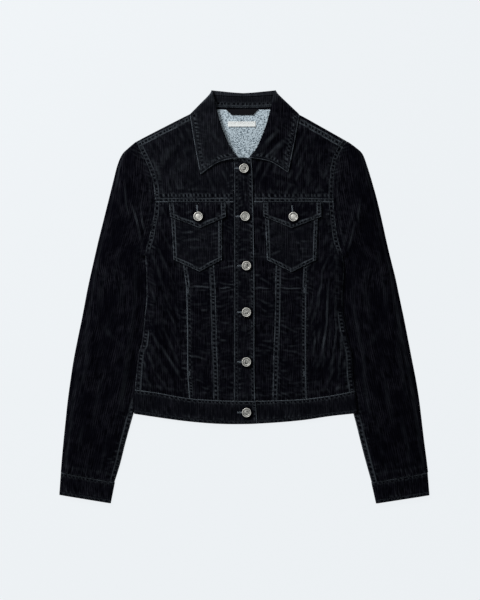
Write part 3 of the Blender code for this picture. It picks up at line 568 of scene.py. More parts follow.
def panel_plan(x_left, x_right, y_top, y_bottom, step=FINE):
    """The plan of a panel between two seams that run down and two that run across."""
    across, corners = [], []
    for y_at in (y_top, y_bottom):
        ends = [meeting(x_at, y_at, float(y_at(0.0))) for x_at in (x_left, x_right)]
        across.append(line_across(y_at, float(x_left(ends[0])), float(x_right(ends[1]))))
        corners.append(ends)
    left, right = (line_down(x_at, high, low) for x_at, high, low in zip((x_left, x_right), *corners))
    return patch(across[0], right, across[1], left, step)


def rim_of(rows, columns):
    """The grid's rim as row and column numbers, once round it."""
    down, over = np.arange(rows - 1), np.arange(columns - 1)
    r = np.concatenate([0 * over, down, 0 * over + rows - 1, rows - 1 - down])
    c = np.concatenate([over, 0 * down + columns - 1, columns - 1 - over, 0 * down])
    return r, c


def inset(plan, amount):
    """Moves the grid's rim inwards in plan, so that pieces that share a seam stand apart."""
    r, c = rim_of(*plan.shape[:2])
    rim = plan[r, c]
    run = np.roll(rim, -1, axis=0) - rim
    run /= np.maximum(1e-9, np.linalg.norm(run, axis=1, keepdims=True))
    ways = np.stack([run[:, 1], -run[:, 0]], -1)
    inward = ways + np.roll(ways, 1, axis=0)
    inward /= np.maximum(1e-9, np.linalg.norm(inward, axis=1, keepdims=True))
    reach = amount / np.maximum(0.5, (inward * ways).sum(1))
    moved = plan.copy()
    moved[r, c] = rim + inward * reach[:, None]
    return moved


# ---- stitched edges ----------------------------------------------------------------------------------------
def normals_of(grid):
    """Unit normals of a grid of points, up where its rows run down and its columns to the right."""
    found = np.cross(np.gradient(grid, axis=0), np.gradient(grid, axis=1))
    return found / np.maximum(1e-9, np.linalg.norm(found, axis=2, keepdims=True))


def from_side(grid, side):
    """How far each point of a grid is from one of its sides, and how far along that side it lies."""
    view = TURNED[side](grid)
    steps = np.linalg.norm(np.diff(view, axis=1), axis=2)
    away = np.concatenate([np.zeros((len(view), 1)), np.cumsum(steps, axis=1)], axis=1)
    edge = view[:, 0]
    tangent = np.gradient(edge, axis=0)
    inward = view[:, min(6, view.shape[1] - 1)] - edge
    slant = np.linalg.norm(np.cross(with_z(tangent), with_z(inward)), axis=1)
    slant /= np.maximum(1e-9, np.linalg.norm(tangent, axis=1) * np.linalg.norm(inward, axis=1))
    along = np.broadcast_to(lengths(edge)[:, None], away.shape)
    return TURNED_BACK[side](away * slant[:, None]), TURNED_BACK[side](along)


def with_z(points):
    return points if points.shape[-1] == 3 else np.concatenate([points, np.zeros((len(points), 1))], axis=1)


class Surface:
    """What stitching adds to one piece: lift in mm, then, from 0 to 1, the greying of rubbed ridges with
    painted highlights between the dents, and painted shade in the dents.
    """

    def __init__(self, plan, sides, seed):
        self.away = {}
        self.lift, self.rub_and_highlight, self.shade = (np.zeros(plan.shape[:2]) for _ in range(3))
        self.bands = []
        for side in SQUARE:
            self.away[side], along = from_side(plan, side)
            for name, weight in sides.get(side, [("under", 1.0)]):
                self.stitch(BANDS[name], self.away[side], along, weight, seed + len(side))
                self.bands.append((side, name, weight))

    def stitch(self, band, away, along, weight, seed):
        """Adds one stitched edge, which is this far away, and along which each point lies so far."""
        flat = away * 0.0
        jitter = 1.3 * noise(along / 23.0, flat, seed + 1) + 0.4 * noise(along / 6.0, flat, seed + 5)
        pulse = smooth(0.5 + 0.62 * np.cos(2 * math.pi * (along / DENT_PITCH + jitter)))
        pulse = pulse * (0.35 + 0.65 * noise(along / 11.0, flat, seed + 6))
        stray = 1.2 * (noise(along / 5.5, flat, seed + 7) - 0.5)
        last = max(band.rows, default=-5.0)
        lift = band.lift * smooth((last + 1.9 - away) / 1.6)
        for middle, half in band.dots:
            spot = np.exp(-(((away - middle - stray) / half) ** 4))
            lift = lift - band.dip * spot * pulse
            # painted shade in each dent, and a painted highlight on the cloth that puffs up between them
            dark = weight * spot * pulse * min(1.0, band.dip / BAND_DIP + 0.1)
            self.shade = np.maximum(self.shade, dark)
            self.rub_and_highlight = np.maximum(self.rub_and_highlight, weight * RUNG * spot * (1.0 - pulse) ** 3)
        for at, pale in band.ridges:
            line = np.exp(-(((away - at - 0.5 * stray) / RIDGE_WIDTH) ** 2))
            paling = smooth(1.5 * noise(along / 3.4, flat + at, seed + 2) - 0.15)
            paling = paling * (0.4 + 0.6 * noise(along / 14.0, flat + at, seed + 8))
            paling = 1.0 - band.ragged * (1.0 - paling)
            self.rub_and_highlight = np.maximum(self.rub_and_highlight, weight * pale * paling * line)
            lift = lift + 0.18 * line
        self.lift += weight * lift
        beyond = max(last + 1.5, 0.0)
        reach = np.exp(-np.maximum(0.0, away - beyond) / PUCKER_REACH) * smooth((away - beyond + 1.5) / 3.0)
        sway = along + (away - beyond) * (noise(along / 40.0, flat, seed + 3) - 0.5)
        gathers = noise(sway / (0.46 * DENT_PITCH), away / 11.0, seed + 9)
        strength = noise(along / 31.0, flat, seed + 4)
        self.lift += weight * PUCKER * (0.3 + strength) * reach * gathers


def rows_of_stitches(grid, normals, surface):
    """Where the stitches of a piece lie: points, directions and normals."""
    found = []
    for side, name, weight in surface.bands:
        for number, distance in enumerate(BANDS[name].rows):
            found.append(one_row(grid, normals, surface, side, number, distance, weight))
    found = [row for row in found if row is not None]
    if not found:
        return None
    return tuple(np.concatenate([row[k] for row in found]) for k in range(3))


def one_row(grid, normals, surface, side, number, distance, weight):
    """One row of stitches, this far from one side of a piece. It ends where another side's row crosses it."""
    others = {}
    for other, name, _ in surface.bands:
        if other != side:
            rows = BANDS[name].rows or (0.6,)
            others[other] = max(others.get(other, 0.0), rows[min(number, len(rows) - 1)])
    layers = [surface.away[other] for other in others] + [np.broadcast_to(weight, surface.lift.shape)]
    data = TURNED[side](np.dstack([grid, normals, *layers]))
    away = TURNED[side](surface.away[side])
    line = [
        [np.interp(distance, away[r], data[r, :, k]) for k in range(data.shape[2])]
        for r in range(len(away)) if away[r, -1] > distance
    ]
    if len(line) < 3:
        return None
    line = np.array(line)
    run = lengths(line[:, :3])
    places = np.arange(STITCH_PITCH * ROW_ENDS[0], run[-1] - STITCH_PITCH * ROW_ENDS[1], STITCH_PITCH)
    if not len(places):
        return None
    on_line = lambda where, columns: np.stack([np.interp(where, run, line[:, k]) for k in range(columns)], -1)
    at = on_line(places, line.shape[1])
    way = on_line(places + 0.5, 3) - on_line(places - 0.5, 3)
    way /= np.maximum(1e-9, np.linalg.norm(way, axis=1, keepdims=True))
    keep = at[:, -1] > 0.5
    for k, limit in enumerate(others.values()):
        keep &= at[:, 6 + k] > limit - 0.3
    return at[keep, :3], way[keep], at[keep, 3:6]


# ---- meshes ------------------------------------------------------------------------------------------------
def add_piece(name, points, faces, slot, numbers=(), finish=None):
    """An object of these points, in mm, and faces, with named numbers at its points. Its finish is its
    slot's own, unless another is named."""
    mesh = bpy.data.meshes.new(name)
    mesh.from_pydata((np.asarray(points) * MM).tolist(), [], faces)
    for key, values in dict(numbers).items():
        kind, field = ("FLOAT_VECTOR", "vector") if values.ndim == 2 else ("FLOAT", "value")
        layer = mesh.attributes.new(key, kind, "POINT")
        layer.data.foreach_set(field, np.ascontiguousarray(values, np.float32).ravel())
    mesh.shade_smooth()
    mesh.materials.append(FINISHES[finish or slot])
    piece = bpy.data.objects.new(name, mesh)
    bpy.context.scene.collection.objects.link(piece)
    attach(piece, "root")
    return piece


def wall(name, outer, inner, slot, numbers):
    """A closed wall of cloth between two grids of points. The outer one's normals point out of the cloth."""
    rows, columns = outer.shape[:2]
    count = rows * columns
    a = (np.arange(rows - 1)[:, None] * columns + np.arange(columns - 1)[None]).ravel()
    face = np.stack([a, a + columns, a + columns + 1, a + 1], -1)
    r, c = rim_of(rows, columns)
    rim = r * columns + c
    after = np.roll(rim, -1)
    edge = np.stack([rim, after, after + count, rim + count], -1)
    faces = np.concatenate([face, face[:, ::-1] + count, edge])
    points = np.concatenate([outer.reshape(-1, 3), inner.reshape(-1, 3)])
    flat = {key: values.reshape(count, *values.shape[2:]) for key, values in numbers.items()}
    doubled = {key: np.concatenate([values, values]) for key, values in flat.items()}
    return add_piece(name, points, faces.tolist(), slot, doubled)


def add_stitches(name, rows, length=STITCH, thickness=THREAD, sink=SINK, finish="core_spun_thread"):
    """One mesh of short, round-ended threads, each lying along its own direction on the cloth."""
    places, ways, normals = rows
    cross = np.cross(normals, ways)
    ring = [(0.0, 1.0), (1.0, 0.0), (0.0, -1.0), (-1.0, 0.0)]
    spans = ((-0.5, 0.25, -0.55), (-0.3, 0.9, 0.1), (0.3, 0.9, 0.1), (0.5, 0.25, -0.55))
    points = []
    for along, wide, rise in spans:
        middle = places + ways * (along * length) + normals * (thickness * (0.3 + rise * 0.5) - sink)
        for across, up in ring:
            points.append(middle + (cross * across + normals * up) * (0.5 * thickness * wide))
    points = np.stack(points, axis=1).reshape(-1, 3)
    faces = []
    for k in range(3):
        for j in range(4):
            n = (j + 1) % 4
            faces.append((4 * k + j, 4 * k + 4 + j, 4 * k + 4 + n, 4 * k + n))
    faces += [(0, 1, 2, 3), (15, 14, 13, 12)]
    faces = (np.array(faces)[None] + 16 * np.arange(len(places))[:, None, None]).reshape(-1, 4)
    return add_piece(name, points, faces.tolist(), "needlecord", finish=finish)


def rounded(grid, sides):
    """How far the cloth's face drops as it turns over at its edges."""
    nearest = np.min([from_side(grid, side)[0] for side in sides], axis=0)
    t = np.clip(nearest / EDGE_ROUND, 0.0, 1.0)
    return EDGE_DROP * (1.0 - np.sqrt(np.maximum(0.0, 1.0 - (1.0 - t) ** 2)))


def convexity(height, rounds=2):
    """How much higher than its surroundings each point of a face is, in mm."""
    smoothed = height.copy()
    for _ in range(rounds):
        p = np.pad(smoothed, 1, mode="edge")
        smoothed = (p[:-2, 1:-1] + p[2:, 1:-1] + p[1:-1, :-2] + p[1:-1, 2:] + 2 * smoothed) / 6.0
    return height - smoothed


# ---- creases, listed one by one ----------------------------------------------------------------------------
# start x, y, end x, y, height and half width of each soft ridge, or trough where the height is below zero
CREASE_NARROW = 0.7  # a crease's sharper part is so much narrower than its half width
BODY_CREASES = (
    (-104.9, 278.6, -151.7, 210.2, -1.2, 11),
    (-120, 290, -160, 226, 0.3, 11),
    (-88, 258, -142, 190, 0.3, 11),
    (-150, 187, -36, 185, -0.45, 5),
    (32, 185, 146, 187, -0.45, 5),
    (-70, 212, -128, 182, -0.5, 6),
    (100, 268, 154, 186, -1.2, 11),
    (114, 284, 160, 206, 0.35, 10),
    (84, 248, 138, 184, 0.35, 10),
    (40, 224, 120, 190, -0.5, 7),
    (-158, 60, -138, 6, 0.35, 6),
    (-162, -70, -105, -164, 0.32, 5),
    (-172, -62, -120, -152, -0.28, 5),
    (-150, -88, -104, -150, -0.2, 4.5),
    (-176, -104, -140, -160, 0.22, 5),
    (-140, -20, -118, -70, 0.25, 5),
    (150.8, 74, 130, -20, 0.38, 4),
    (136, 1, 122, -99, 0.38, 3.4),
    (129, 6, 116, -80, -0.3, 4),
    (151, 30, 136, -114, 0.42, 3.6),
    (143, 20, 130, -110, -0.35, 4),
    (165, -6, 154, -132, 0.38, 4),
    (158, 0, 146, -124, -0.35, 4),
    (174, -60, 166, -150, 0.3, 4.5),
    (-96, -60, -62, -84, 0.22, 4),
    (-98, -104, -60, -118, 0.22, 4),
    (66, -50, 100, -66, 0.22, 4),
    (64, -96, 104, -104, 0.22, 4),
    (-46, 28, -24, 20, 0.22, 4),
    (24, 34, 50, 22, 0.3, 4),
    (24, -2, 52, -16, 0.25, 4),
    (24, -84, 50, -94, 0.25, 4),
    (-48, -44, -24, -50, 0.2, 4),
    (-101, 18, -60, 16.8, 0.6, 2),
    (60, 16.8, 106, 17.2, 0.6, 2),
    (-44, 16.2, -22, 16, 0.55, 2),
    (22, 16, 46, 16.4, 0.55, 2),
)
SLEEVE_CREASES = {
    "right": (
        (-216.5, 217, -207.5, 145, 0.25, 4),
        (-203.9, 172, -186, 98, 0.3, 4),
        (-187.7, 160, -178.7, 116, 0.28, 3.6),
        (-196, 178, -187, 128, -0.3, 4.5),
        (-222, 240, -214, 180, -0.3, 7),
        (-240, 120, -262, -10, 0.2, 10),
        (-225, 90, -236, 10, 0.15, 9),
        (-250, 60, -226, 20, -0.15, 9),
        (-262, -40, -214, -96, 0.15, 10),
        (-280, -60, -300, -190, 0.2, 9),
        (-250, -130, -272, -240, 0.2, 10),
        (-212, -130, -236, -236, 0.15, 9),
        (-286, -220, -300, -300, 0.15, 8),
        (-250, -262, -262, -322, 0.15, 8),
    ),
    "left": (
        (210, 178, 199.4, 136.4, 0.3, 4),
        (199.4, 136.4, 180, 74, 0.3, 4),
        (208.4, 169, 204, 132, 0.25, 3.6),
        (204, 176, 192, 120, -0.3, 4.5),
        (196, 130, 183, 84, -0.25, 4.5),
        (214, 236, 206, 186, -0.3, 7),
        (238, 120, 256, -10, 0.2, 10),
        (220, 80, 232, 0, 0.15, 9),
        (246, 60, 222, 20, -0.15, 9),
        (258, -40, 212, -96, 0.15, 10),
        (276, -60, 296, -190, 0.2, 9),
        (246, -130, 268, -240, 0.2, 10),
        (210, -130, 232, -236, 0.15, 9),
        (282, -220, 296, -300, 0.15, 8),
        (246, -262, 258, -322, 0.15, 8),
    ),
}
COLLAR_CREASES = (
    (21, 259, 62, 302, 0.7, 7),
    (30, 250, 72, 290, -0.7, 7),
    (-30, 262, -66, 300, 0.2, 8),
    (-60, 236, -78, 262, 0.25, 7),
)


def creases(table, x, y):
    """The height that narrow creases add. Each wanders, fades in places and falls off more on one side."""
    total = np.zeros(np.shape(x))
    for number, (x0, y0, x1, y1, height, half) in enumerate(table):
        run = math.hypot(x1 - x0, y1 - y0)
        away, along = to_segment(x, y, x0, y0, x1, y1)
        across = ((x - x0) * (y1 - y0) - (y - y0) * (x1 - x0)) / run
        past = np.sqrt(np.maximum(0.0, away**2 - across**2))
        place, flat = along * run, along * 0.0
        bow = 0.03 * run * np.sin(math.pi * along) * (-1) ** number
        wander = 3.0 * (noise(place / 27.0, flat, 500 + number) - 0.5)
        across = (across - bow - wander) / (CREASE_NARROW * half)
        fade = np.sin(math.pi * (0.04 + 0.9 * along))
        strength = (0.3 + 0.8 * noise(place / 17.0, flat, 600 + number)) * fade
        ridge = np.exp(-(across**2)) - 0.5 * np.exp(-(((across - 2.1) / 1.5) ** 2))
        total += height * strength * ridge * np.exp(-((past / half) ** 2))
    return total


def body_relief(x, y):
    """Creases and small wrinkles that every layer of the front shares. They die out towards the seams."""
    wide = np.maximum(np.abs(x), SHOULDER_FROM)
    side = np.where(x < 0, np.abs(edge_x("right", y)), np.abs(edge_x("left", y)))
    top = np.where(x < 0, shoulder_y("right", wide), shoulder_y("left", wide))
    calm = smooth((side - np.abs(x)) / 15.0) * smooth((y - waist_y(x)) / 13.0) * smooth((top - y) / 12.0)
    broad = 0.7 * noise(x / 36.0, y / 27.0, 11) + 0.35 * noise(x / 13.0, y / 11.0, 12)
    gathered = smooth((122.0 - np.abs(x)) / 14.0) * smooth((165.0 - y) / 18.0)
    bent = y + 9.0 * noise(x / 22.0, y / 26.0, 16)
    across = (noise(x / 12.0, bent / 4.9, 13) - 0.35) * (0.1 + 1.3 * noise(x / 21.0, y / 19.0, 14) ** 2)
    slant = x * 0.45 + y * np.sign(x) * 0.9
    drags = noise(slant / 26.0 + 7, (x * 0.9 - y * np.sign(x) * 0.4) / 7.0, 15) - 0.3
    fine = 0.52 * np.maximum(0.0, across) * gathered + 0.45 * np.maximum(0.0, drags) * (1.0 - gathered)
    return calm * (broad + fine + creases(BODY_CREASES, x, y) + 0.25)


def inside_of(corners, x, y):
    """How far inside a convex outline each point is, less than 0 outside it."""
    corners = np.asarray(corners, float)
    middle = corners.mean(axis=0)
    found = np.full(np.shape(x), 1e6)
    for (x0, y0), (x1, y1) in zip(corners, np.roll(corners, -1, axis=0)):
        run = math.hypot(x1 - x0, y1 - y0)
        away = ((x - x0) * (y1 - y0) - (y - y0) * (x1 - x0)) / run
        inward = np.sign((middle[0] - x0) * (y1 - y0) - (middle[1] - y0) * (x1 - x0))
        found = np.minimum(found, away * inward)
    return found


def outline_of(spec, top_y):
    """A pocket's or flap's corners in plan, from the upper left one round to the lower left one."""
    (left, right), (low_left, low_right) = spec["top"], spec["bottom"]
    corner_y = spec["corner_y"]
    return ((left, top_y), (right, top_y), (low_right, corner_y), spec["point"], (low_left, corner_y))


def bare(distance):
    """1 in the open and 0 where another layer lies on the cloth, which starts this far away."""
    return smooth((distance - 0.4) / 2.6)


def under_collar(x, y):
    edge = [(row[4][1], row[4][0]) for row in COLLAR_ROWS[:5]]
    outer = read(edge, np.clip(y, edge[0][0], edge[-1][0]), 1) + 1.0
    tip_x, tip_y = COLLAR_ROWS[0][4][0], COLLAR_ROWS[0][4][1]
    lower = tip_y + (250.0 - tip_y) * np.clip((tip_x - np.abs(x)) / (tip_x - 10.0), 0.0, 1.0) - 2.0
    return np.minimum(outer - np.abs(x), y - lower)


def open_front(side, x, y):
    """How much of a front's own stitching can stand up here: none of it under a pocket, collar or placket."""
    free = bare(-inside_of(outline_of(POCKET_ROWS[side], POCKET_TOP_Y), x, y))
    free *= bare(-inside_of(outline_of(FLAP_ROWS[side], FLAP_TOP_Y), x, y)) * bare(-under_collar(x, y))
    if side == "left":
        free *= bare(x - placket_x("edge", y) - 1.0)
    return free


# ---- cloth pieces ------------------------------------------------------------------------------------------
FLOOR = "studio_floor"
# how much greyer with wear each piece is than the sleeves, from 0 to 1
WORN = {
    "front_yoke_right": 0.012, "pocket_right": 0.012, "pocket_left": 0.012, "placket_right": 0.005,
    "waistband_right": 0.012, "waistband_left": 0.012, "collar_leaf": 0.024, "collar_stand": 0.03,
}
TURN_PAINTED_LIGHT = 0.05  # painted light in the turn at the back of the collar, where the trough beside the stand lies in shade
made = {}  # each part's outer face and its normals, once it is made


def painted_shadow_by_buttons(x, y):
    """1 beside each button, a little to its right and below it, where the shadow of its rim is painted dark
    into the pile, and 0 further off.
    """
    nearest = np.full(np.shape(x), 1e6)
    for at_x, at_y in FRONT_BUTTONS + tuple(FLAP_BUTTONS.values()):
        nearest = np.minimum(nearest, np.hypot(x - at_x - 2.0, y - at_y + 1.6))
    return 0.95 * smooth((13.0 - nearest) / 3.5)


def weighed(sides, x, y):
    """Each side's bands with their weights as numbers. A side has one band, none or a few with weights."""
    found = {}
    for side, bands in sides.items():
        bands = [] if bands is None else bands if isinstance(bands, list) else [bands]
        pairs = [(band, 1.0) if isinstance(band, str) else band for band in bands]
        found[side] = [(name, weight(x, y) if callable(weight) else weight) for name, weight in pairs]
    return found


def cord_wear_and_painted_light(across, along, rub_and_highlight, shade):
    """The numbers that the needlecord reads: where on the cord each point lies, how much it greys with
    rubbing and painted highlights, and its painted shade.
    """
    place = np.dstack([across, along, np.zeros(across.shape)])
    return {"cord": place, "rub_and_highlight": np.clip(rub_and_highlight, 0.0, 1.0), "shade": np.clip(shade, 0.0, 1.0)}


def cloth(
    part, plan, under, thickness, sides, seed, rests_on, slot="needlecord",
    shared=None, cover=None, cord=None, folded=(), fold_low=None, fold_weight=None, face_down=False,
):
    """The cloth of one part over its plan, with its underside at under(x, y) and stitched sides by name."""
    plan = inset(plan, INSET)
    x, y = plan[..., 0], plan[..., 1]
    surface = Surface(plan, weighed(sides, x, y), seed)
    free = cover(x, y) if cover else np.ones(x.shape)
    low = under(x, y)
    common = shared(x, y) if shared else 0.0 * x
    drop = rounded(plan, [side for side in SQUARE if side not in folded])
    lift = surface.lift * free
    if face_down:
        bottom = low + FACE_DOWN_ROOM - np.clip(0.5 * lift, -0.3, 0.12) + 0.5 * drop
        top = low + thickness - 0.5 * drop
    else:
        bottom = low + common + 0.6 * drop
        top = low + common + thickness + lift - drop
    for side in folded:
        away = surface.away[side]
        weight = fold_weight(x, y) if fold_weight else 1.0
        floor = fold_low(x, y)
        rounding = np.sqrt(np.maximum(0.0, 1.0 - (1.0 - np.clip(away / FOLD_ROUND, 0, 1)) ** 2))
        turned = floor + FOLD_FACES[0] + (top - floor - FOLD_FACES[0]) * rounding
        top = top + (turned - top) * weight
        parted = smooth((away - FOLD_TUCK[0]) / FOLD_TUCK[1])
        tucked = floor + FOLD_FACES[1] + (bottom - floor - FOLD_FACES[1]) * parted
        bottom = bottom + (np.minimum(tucked, bottom) - bottom) * weight
    outer, inner = np.dstack([x, y, top]), np.dstack([x, y, bottom])
    if face_down:
        outer, inner = inner, outer
    bump = convexity(lift + common)
    # grey from rubbed wear plus a painted highlight on crests; painted shade in dips and dents, and a painted
    # shadow beside each button
    rub_and_highlight = WORN.get(part, 0.0) + surface.rub_and_highlight * free + np.clip(bump * WEAR_AND_HIGHLIGHT_BY_BUMP, 0.0, 0.25)
    shade = surface.shade * free + np.clip(-bump * SHADE_BY_BUMP, 0.0, 0.8)
    numbers = cord_wear_and_painted_light(*(cord(x, y) if cord else (x, y)), rub_and_highlight, np.maximum(shade, painted_shadow_by_buttons(x, y)))
    way = -1 if face_down else 1
    numbers = {key: values[:, ::way] for key, values in numbers.items()}
    piece = wall(part + "_cloth", outer[:, ::way], inner[:, ::way], slot, numbers)
    surface.bands = [(side, kind, weight * free) for side, kind, weight in surface.bands]
    declare(piece, outer, way * normals_of(outer), surface, rests_on)


def declare(piece, outer, normals, surface, rests_on):
    """Adds a piece's stitches, hides the solid it stands for and keeps its outer face and normals."""
    rows = rows_of_stitches(outer, normals, surface)
    if rows is not None:
        sink = np.where(rows[2][:, 2:] < 0.0, SINK_BELOW, SINK)
        add_stitches(piece.name + "_stitches", rows, sink=sink)
    part = piece.name.removesuffix("_cloth")
    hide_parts(part)
    rests_on = [below if below == FLOOR else below + "_cloth" for below in rests_on]
    made[part] = {"outer": outer, "normals": normals}


def on_cloth(part, x, y):
    """The height of a piece's upper face at a point, and its normal there."""
    outer, normals = made[part]["outer"], made[part]["normals"]
    away = np.hypot(outer[..., 0] - x, outer[..., 1] - y)
    spot = np.unravel_index(np.argmin(away), away.shape)
    near = outer[spot]
    n = normals[spot]
    return near[2] - ((x - near[0]) * n[0] + (y - near[1]) * n[1]) / n[2], n


def collar_points(side):
    """The collar's table on one side, in the jacket's own frame: each column as an array of points."""
    sign = SIDES[side]
    found = {name: [] for name in COLLAR_COLUMNS + ("belly",)}
    for i, row in enumerate(COLLAR_ROWS):
        base = 0.0
        if i < COLLAR_OVER_FRONT:
            base = float(front_height(side, np.array(sign * 70.0), np.array(row[0][1]))) + CLOTH
        line = {
            name: np.array((sign * x + middle, y, z + base))
            for name, middle, (x, y, z) in zip(COLLAR_COLUMNS, COLLAR_MIDDLES, row)
        }
        line["edge"][:2] += np.array(COLLAR_DRAG[side]) * max(0.0, 1.0 - i / 4.0)
        belly = 0.5 * (line["top"] + line["edge"])
        belly[2] -= 0.3 * (line["top"][2] - line["edge"][2])
        belly[1] += COLLAR_END_BOW * max(0.0, 1.0 - i)
        line["belly"] = belly
        for key, point in line.items():
            found[key].append(point)
    return {key: np.array(points) for key, points in found.items()}


def shoulder_neck(side):
    """Where the shoulder seam, the neck seam and the collar meet."""
    return (SIDES[side] * SHOULDER_NECK[0] + COLLAR_MIDDLES[0], SHOULDER_NECK[1])


def shoulder_top(side):
    return meeting(lambda y: edge_x(side, y), lambda x: shoulder_y(side, x), 275.0)


def shoulder_line(side):
    """The shoulder seam from the armhole to the neck."""
    end = float(edge_x(side, shoulder_top(side)))
    line = line_across(lambda x: shoulder_y(side, x), end, shoulder_neck(side)[0])
    return np.concatenate([line[:-1], [shoulder_neck(side)]])


def neck_line(side):
    """The neck seam in plan from the shoulder seam down to the placket."""
    seams = collar_points(side)["seam"][:, :2]
    return np.concatenate([[shoulder_neck(side)], between(seams, np.linspace(LAST_FRONT_ROW, 0.0, 120))])


def back_neck_line():
    halves = []
    for side in SIDES:
        seams = collar_points(side)["seam"][:, :2]
        line = between(seams, np.linspace(FIRST_BACK_ROW, len(seams) - 1, 60))
        halves.append(np.concatenate([[shoulder_neck(side)], line]))
    return np.concatenate([halves[0], halves[1][-2::-1]])


def tucked_edge_x(side, y):
    """The side of the back, short of the body's side, so that nothing shows between the layers."""
    return edge_x(side, y) - SIDES[side] * FOLD_INSET


def make_backs():
    tucked = {side: partial(tucked_edge_x, side) for side in SIDES}
    armholes = {s: line_down(tucked[s], shoulder_top(s) - FOLD_INSET, BACK_YOKE_Y) for s in SIDES}
    shoulders = {s: shoulder_line(s) - (sign * FOLD_INSET, FOLD_INSET) for s, sign in SIDES.items()}
    top = np.concatenate([shoulders["right"][:-1], back_neck_line(), shoulders["left"][::-1][1:]])
    bottom = line_across(level(BACK_YOKE_Y), armholes["right"][-1][0], armholes["left"][-1][0])
    plan = patch(top, armholes["left"], bottom, armholes["right"], COARSE)
    bands = {"bottom": "seam", "left": "armhole", "right": "armhole", "top": None}
    cloth("back_yoke", plan, back_height, CLOTH, bands, 100, [FLOOR], face_down=True)
    seams = {s: (lambda y, sign=sign: sign * back_seam_x(y)) for s, sign in SIDES.items()}
    plan = panel_plan(seams["right"], seams["left"], level(BACK_YOKE_Y), waist_y, COARSE)
    bands = {"left": "seam", "right": "seam"}
    cloth("back_centre", plan, back_height, CLOTH, bands, 110, [FLOOR], face_down=True)
    for side, sign in SIDES.items():
        plan = panel_plan(*(tucked[side], seams[side])[::-sign], level(BACK_YOKE_Y), waist_y, COARSE)
        bands = {OUT_AND_IN[side][0]: [("armhole", lambda x, y: smooth((y - 70.0) / 8.0))]}
        rests = [FLOOR, f"sleeve_upper_{side}"]
        cloth(f"back_side_{side}", plan, back_height, CLOTH, bands, 120 + sign, rests, face_down=True)


SIDE_TURNS = {"right": -66.0, "left": -30.0}  # y below which the side seams show a second row


def make_fronts():
    for side, sign in SIDES.items():
        placket = partial(placket_x, "seam") if side == "right" else under_placket_x
        near_placket = "under" if side == "right" else None
        inner, outer = partial(seam_x, side, "inner"), partial(seam_x, side, "outer")
        edge, height = partial(edge_x, side), partial(front_height, side)
        out_side, in_side = OUT_AND_IN[side]
        common = {"shared": body_relief, "cover": partial(open_front, side)}
        turn = SIDE_TURNS[side]
        mouth = [
            ("pocket", lambda x, y: smooth((y - 14.0) / 5.0)),
            ("mouth", lambda x, y: smooth((19.0 - y) / 5.0)),
        ]
        side_seam = [
            ("armhole", lambda x, y: smooth((y - 72.0) / 18.0)),
            ("side", lambda x, y: smooth((76.0 - y) / 6.0) * smooth((y - turn) / 16.0)),
            ("side_double", lambda x, y: smooth((turn + 12.0 - y) / 16.0)),
        ]
        fold = {
            "folded": (out_side,), "fold_low": back_height,
            "fold_weight": lambda x, y: smooth((UNDERARM_Y + 2.0 - y) / 6.0),
        }
        with_folds = lambda x, y: height(x, y) + folds(BODY_FOLDS, x, y)
        for number, (name, far, near, under, bands, also) in enumerate((
            ("centre", inner, placket, height, {out_side: "under", in_side: near_placket}, {}),
            ("mid", outer, inner, height, {out_side: mouth, in_side: "seam"}, {}),
            ("side", edge, outer, with_folds, {out_side: side_seam, in_side: "under"}, fold),
        )):
            plan = panel_plan(*(far, near)[::-sign], level(YOKE_Y), waist_y)
            rests, seed = [f"back_side_{side}", "back_centre"], 200 + 20 * number + 7 * sign
            cloth(f"front_{name}_{side}", plan, under, CLOTH, bands, seed, rests, **common, **also)
        neck = neck_line(side)
        front = np.concatenate([neck[:-1], line_down(placket, neck[-1][1] - 2.0, YOKE_Y)])
        armhole = line_down(edge, shoulder_top(side), YOKE_Y)
        top, bottom = shoulder_line(side), line_across(level(YOKE_Y), armhole[-1][0], front[-1][0])
        if side == "right":
            plan = patch(top, front, bottom, armhole)
        else:
            plan = patch(top[::-1], armhole, bottom[::-1], front)
        bands = {"top": f"shoulder_{side}", "bottom": "yoke", out_side: "armhole", in_side: near_placket}
        also = dict(common, folded=("top",), fold_low=back_height)
        cloth(f"front_yoke_{side}", plan, height, CLOTH, bands, 300 + 7 * sign, ["back_yoke"], **also)


def placket_top(x):
    """The arch of the neck's front edge."""
    return NECK_FRONT_Y - 0.0135 * (x + 2.0) ** 2


def make_plackets():
    plan = panel_plan(partial(placket_x, "seam"), partial(placket_x, "edge"), placket_top, waist_y)
    bands = {"left": "placket", "right": "edge", "top": "edge", "bottom": "under"}
    rests = ["placket_left", "front_centre_left", "front_yoke_left"]
    cloth("placket_right", plan, over_placket_height, CLOTH, bands, 400, rests, shared=body_relief)
    plan = panel_plan(upright(UNDER_PLACKET_X), under_placket_x, placket_top, waist_y, COARSE)
    rests = ["back_centre", "back_yoke"]
    cloth("placket_left", plan, partial(front_height, "left"), CLOTH, PLAIN, 410, rests, shared=body_relief)


def make_waistband():
    edges, tucked = ([partial(at, side) for side in SIDES] for at in (edge_x, tucked_edge_x))
    sewn = {"top": "waist", "bottom": "hem", "left": None, "right": None}
    rests = [FLOOR, "sleeve_upper_right", "sleeve_upper_left"]
    plan = panel_plan(*tucked, waist_y, hem_y, COARSE)
    cloth("waistband_back", plan, back_height, DOUBLE, sewn, 500, rests, face_down=True)
    end = lambda y: placket_x("edge", y) + PLACKET_END_X
    plan = panel_plan(edges[0], end, waist_y, hem_y)
    cloth(
        "waistband_right", plan, partial(waistband_height, "right"), DOUBLE, dict(sewn, right="edge"), 510,
        ["waistband_back", "waistband_left"], folded=("left",), fold_low=back_height,
    )
    plan = panel_plan(upright(UNDER_PLACKET_X), edges[1], waist_y, hem_y)
    cloth(
        "waistband_left", plan, partial(waistband_height, "left"), DOUBLE, sewn, 520, ["waistband_back"],
        folded=("right",), fold_low=back_height,
        cover=lambda x, y: bare(x - placket_x("edge", y) - PLACKET_END_X),
    )


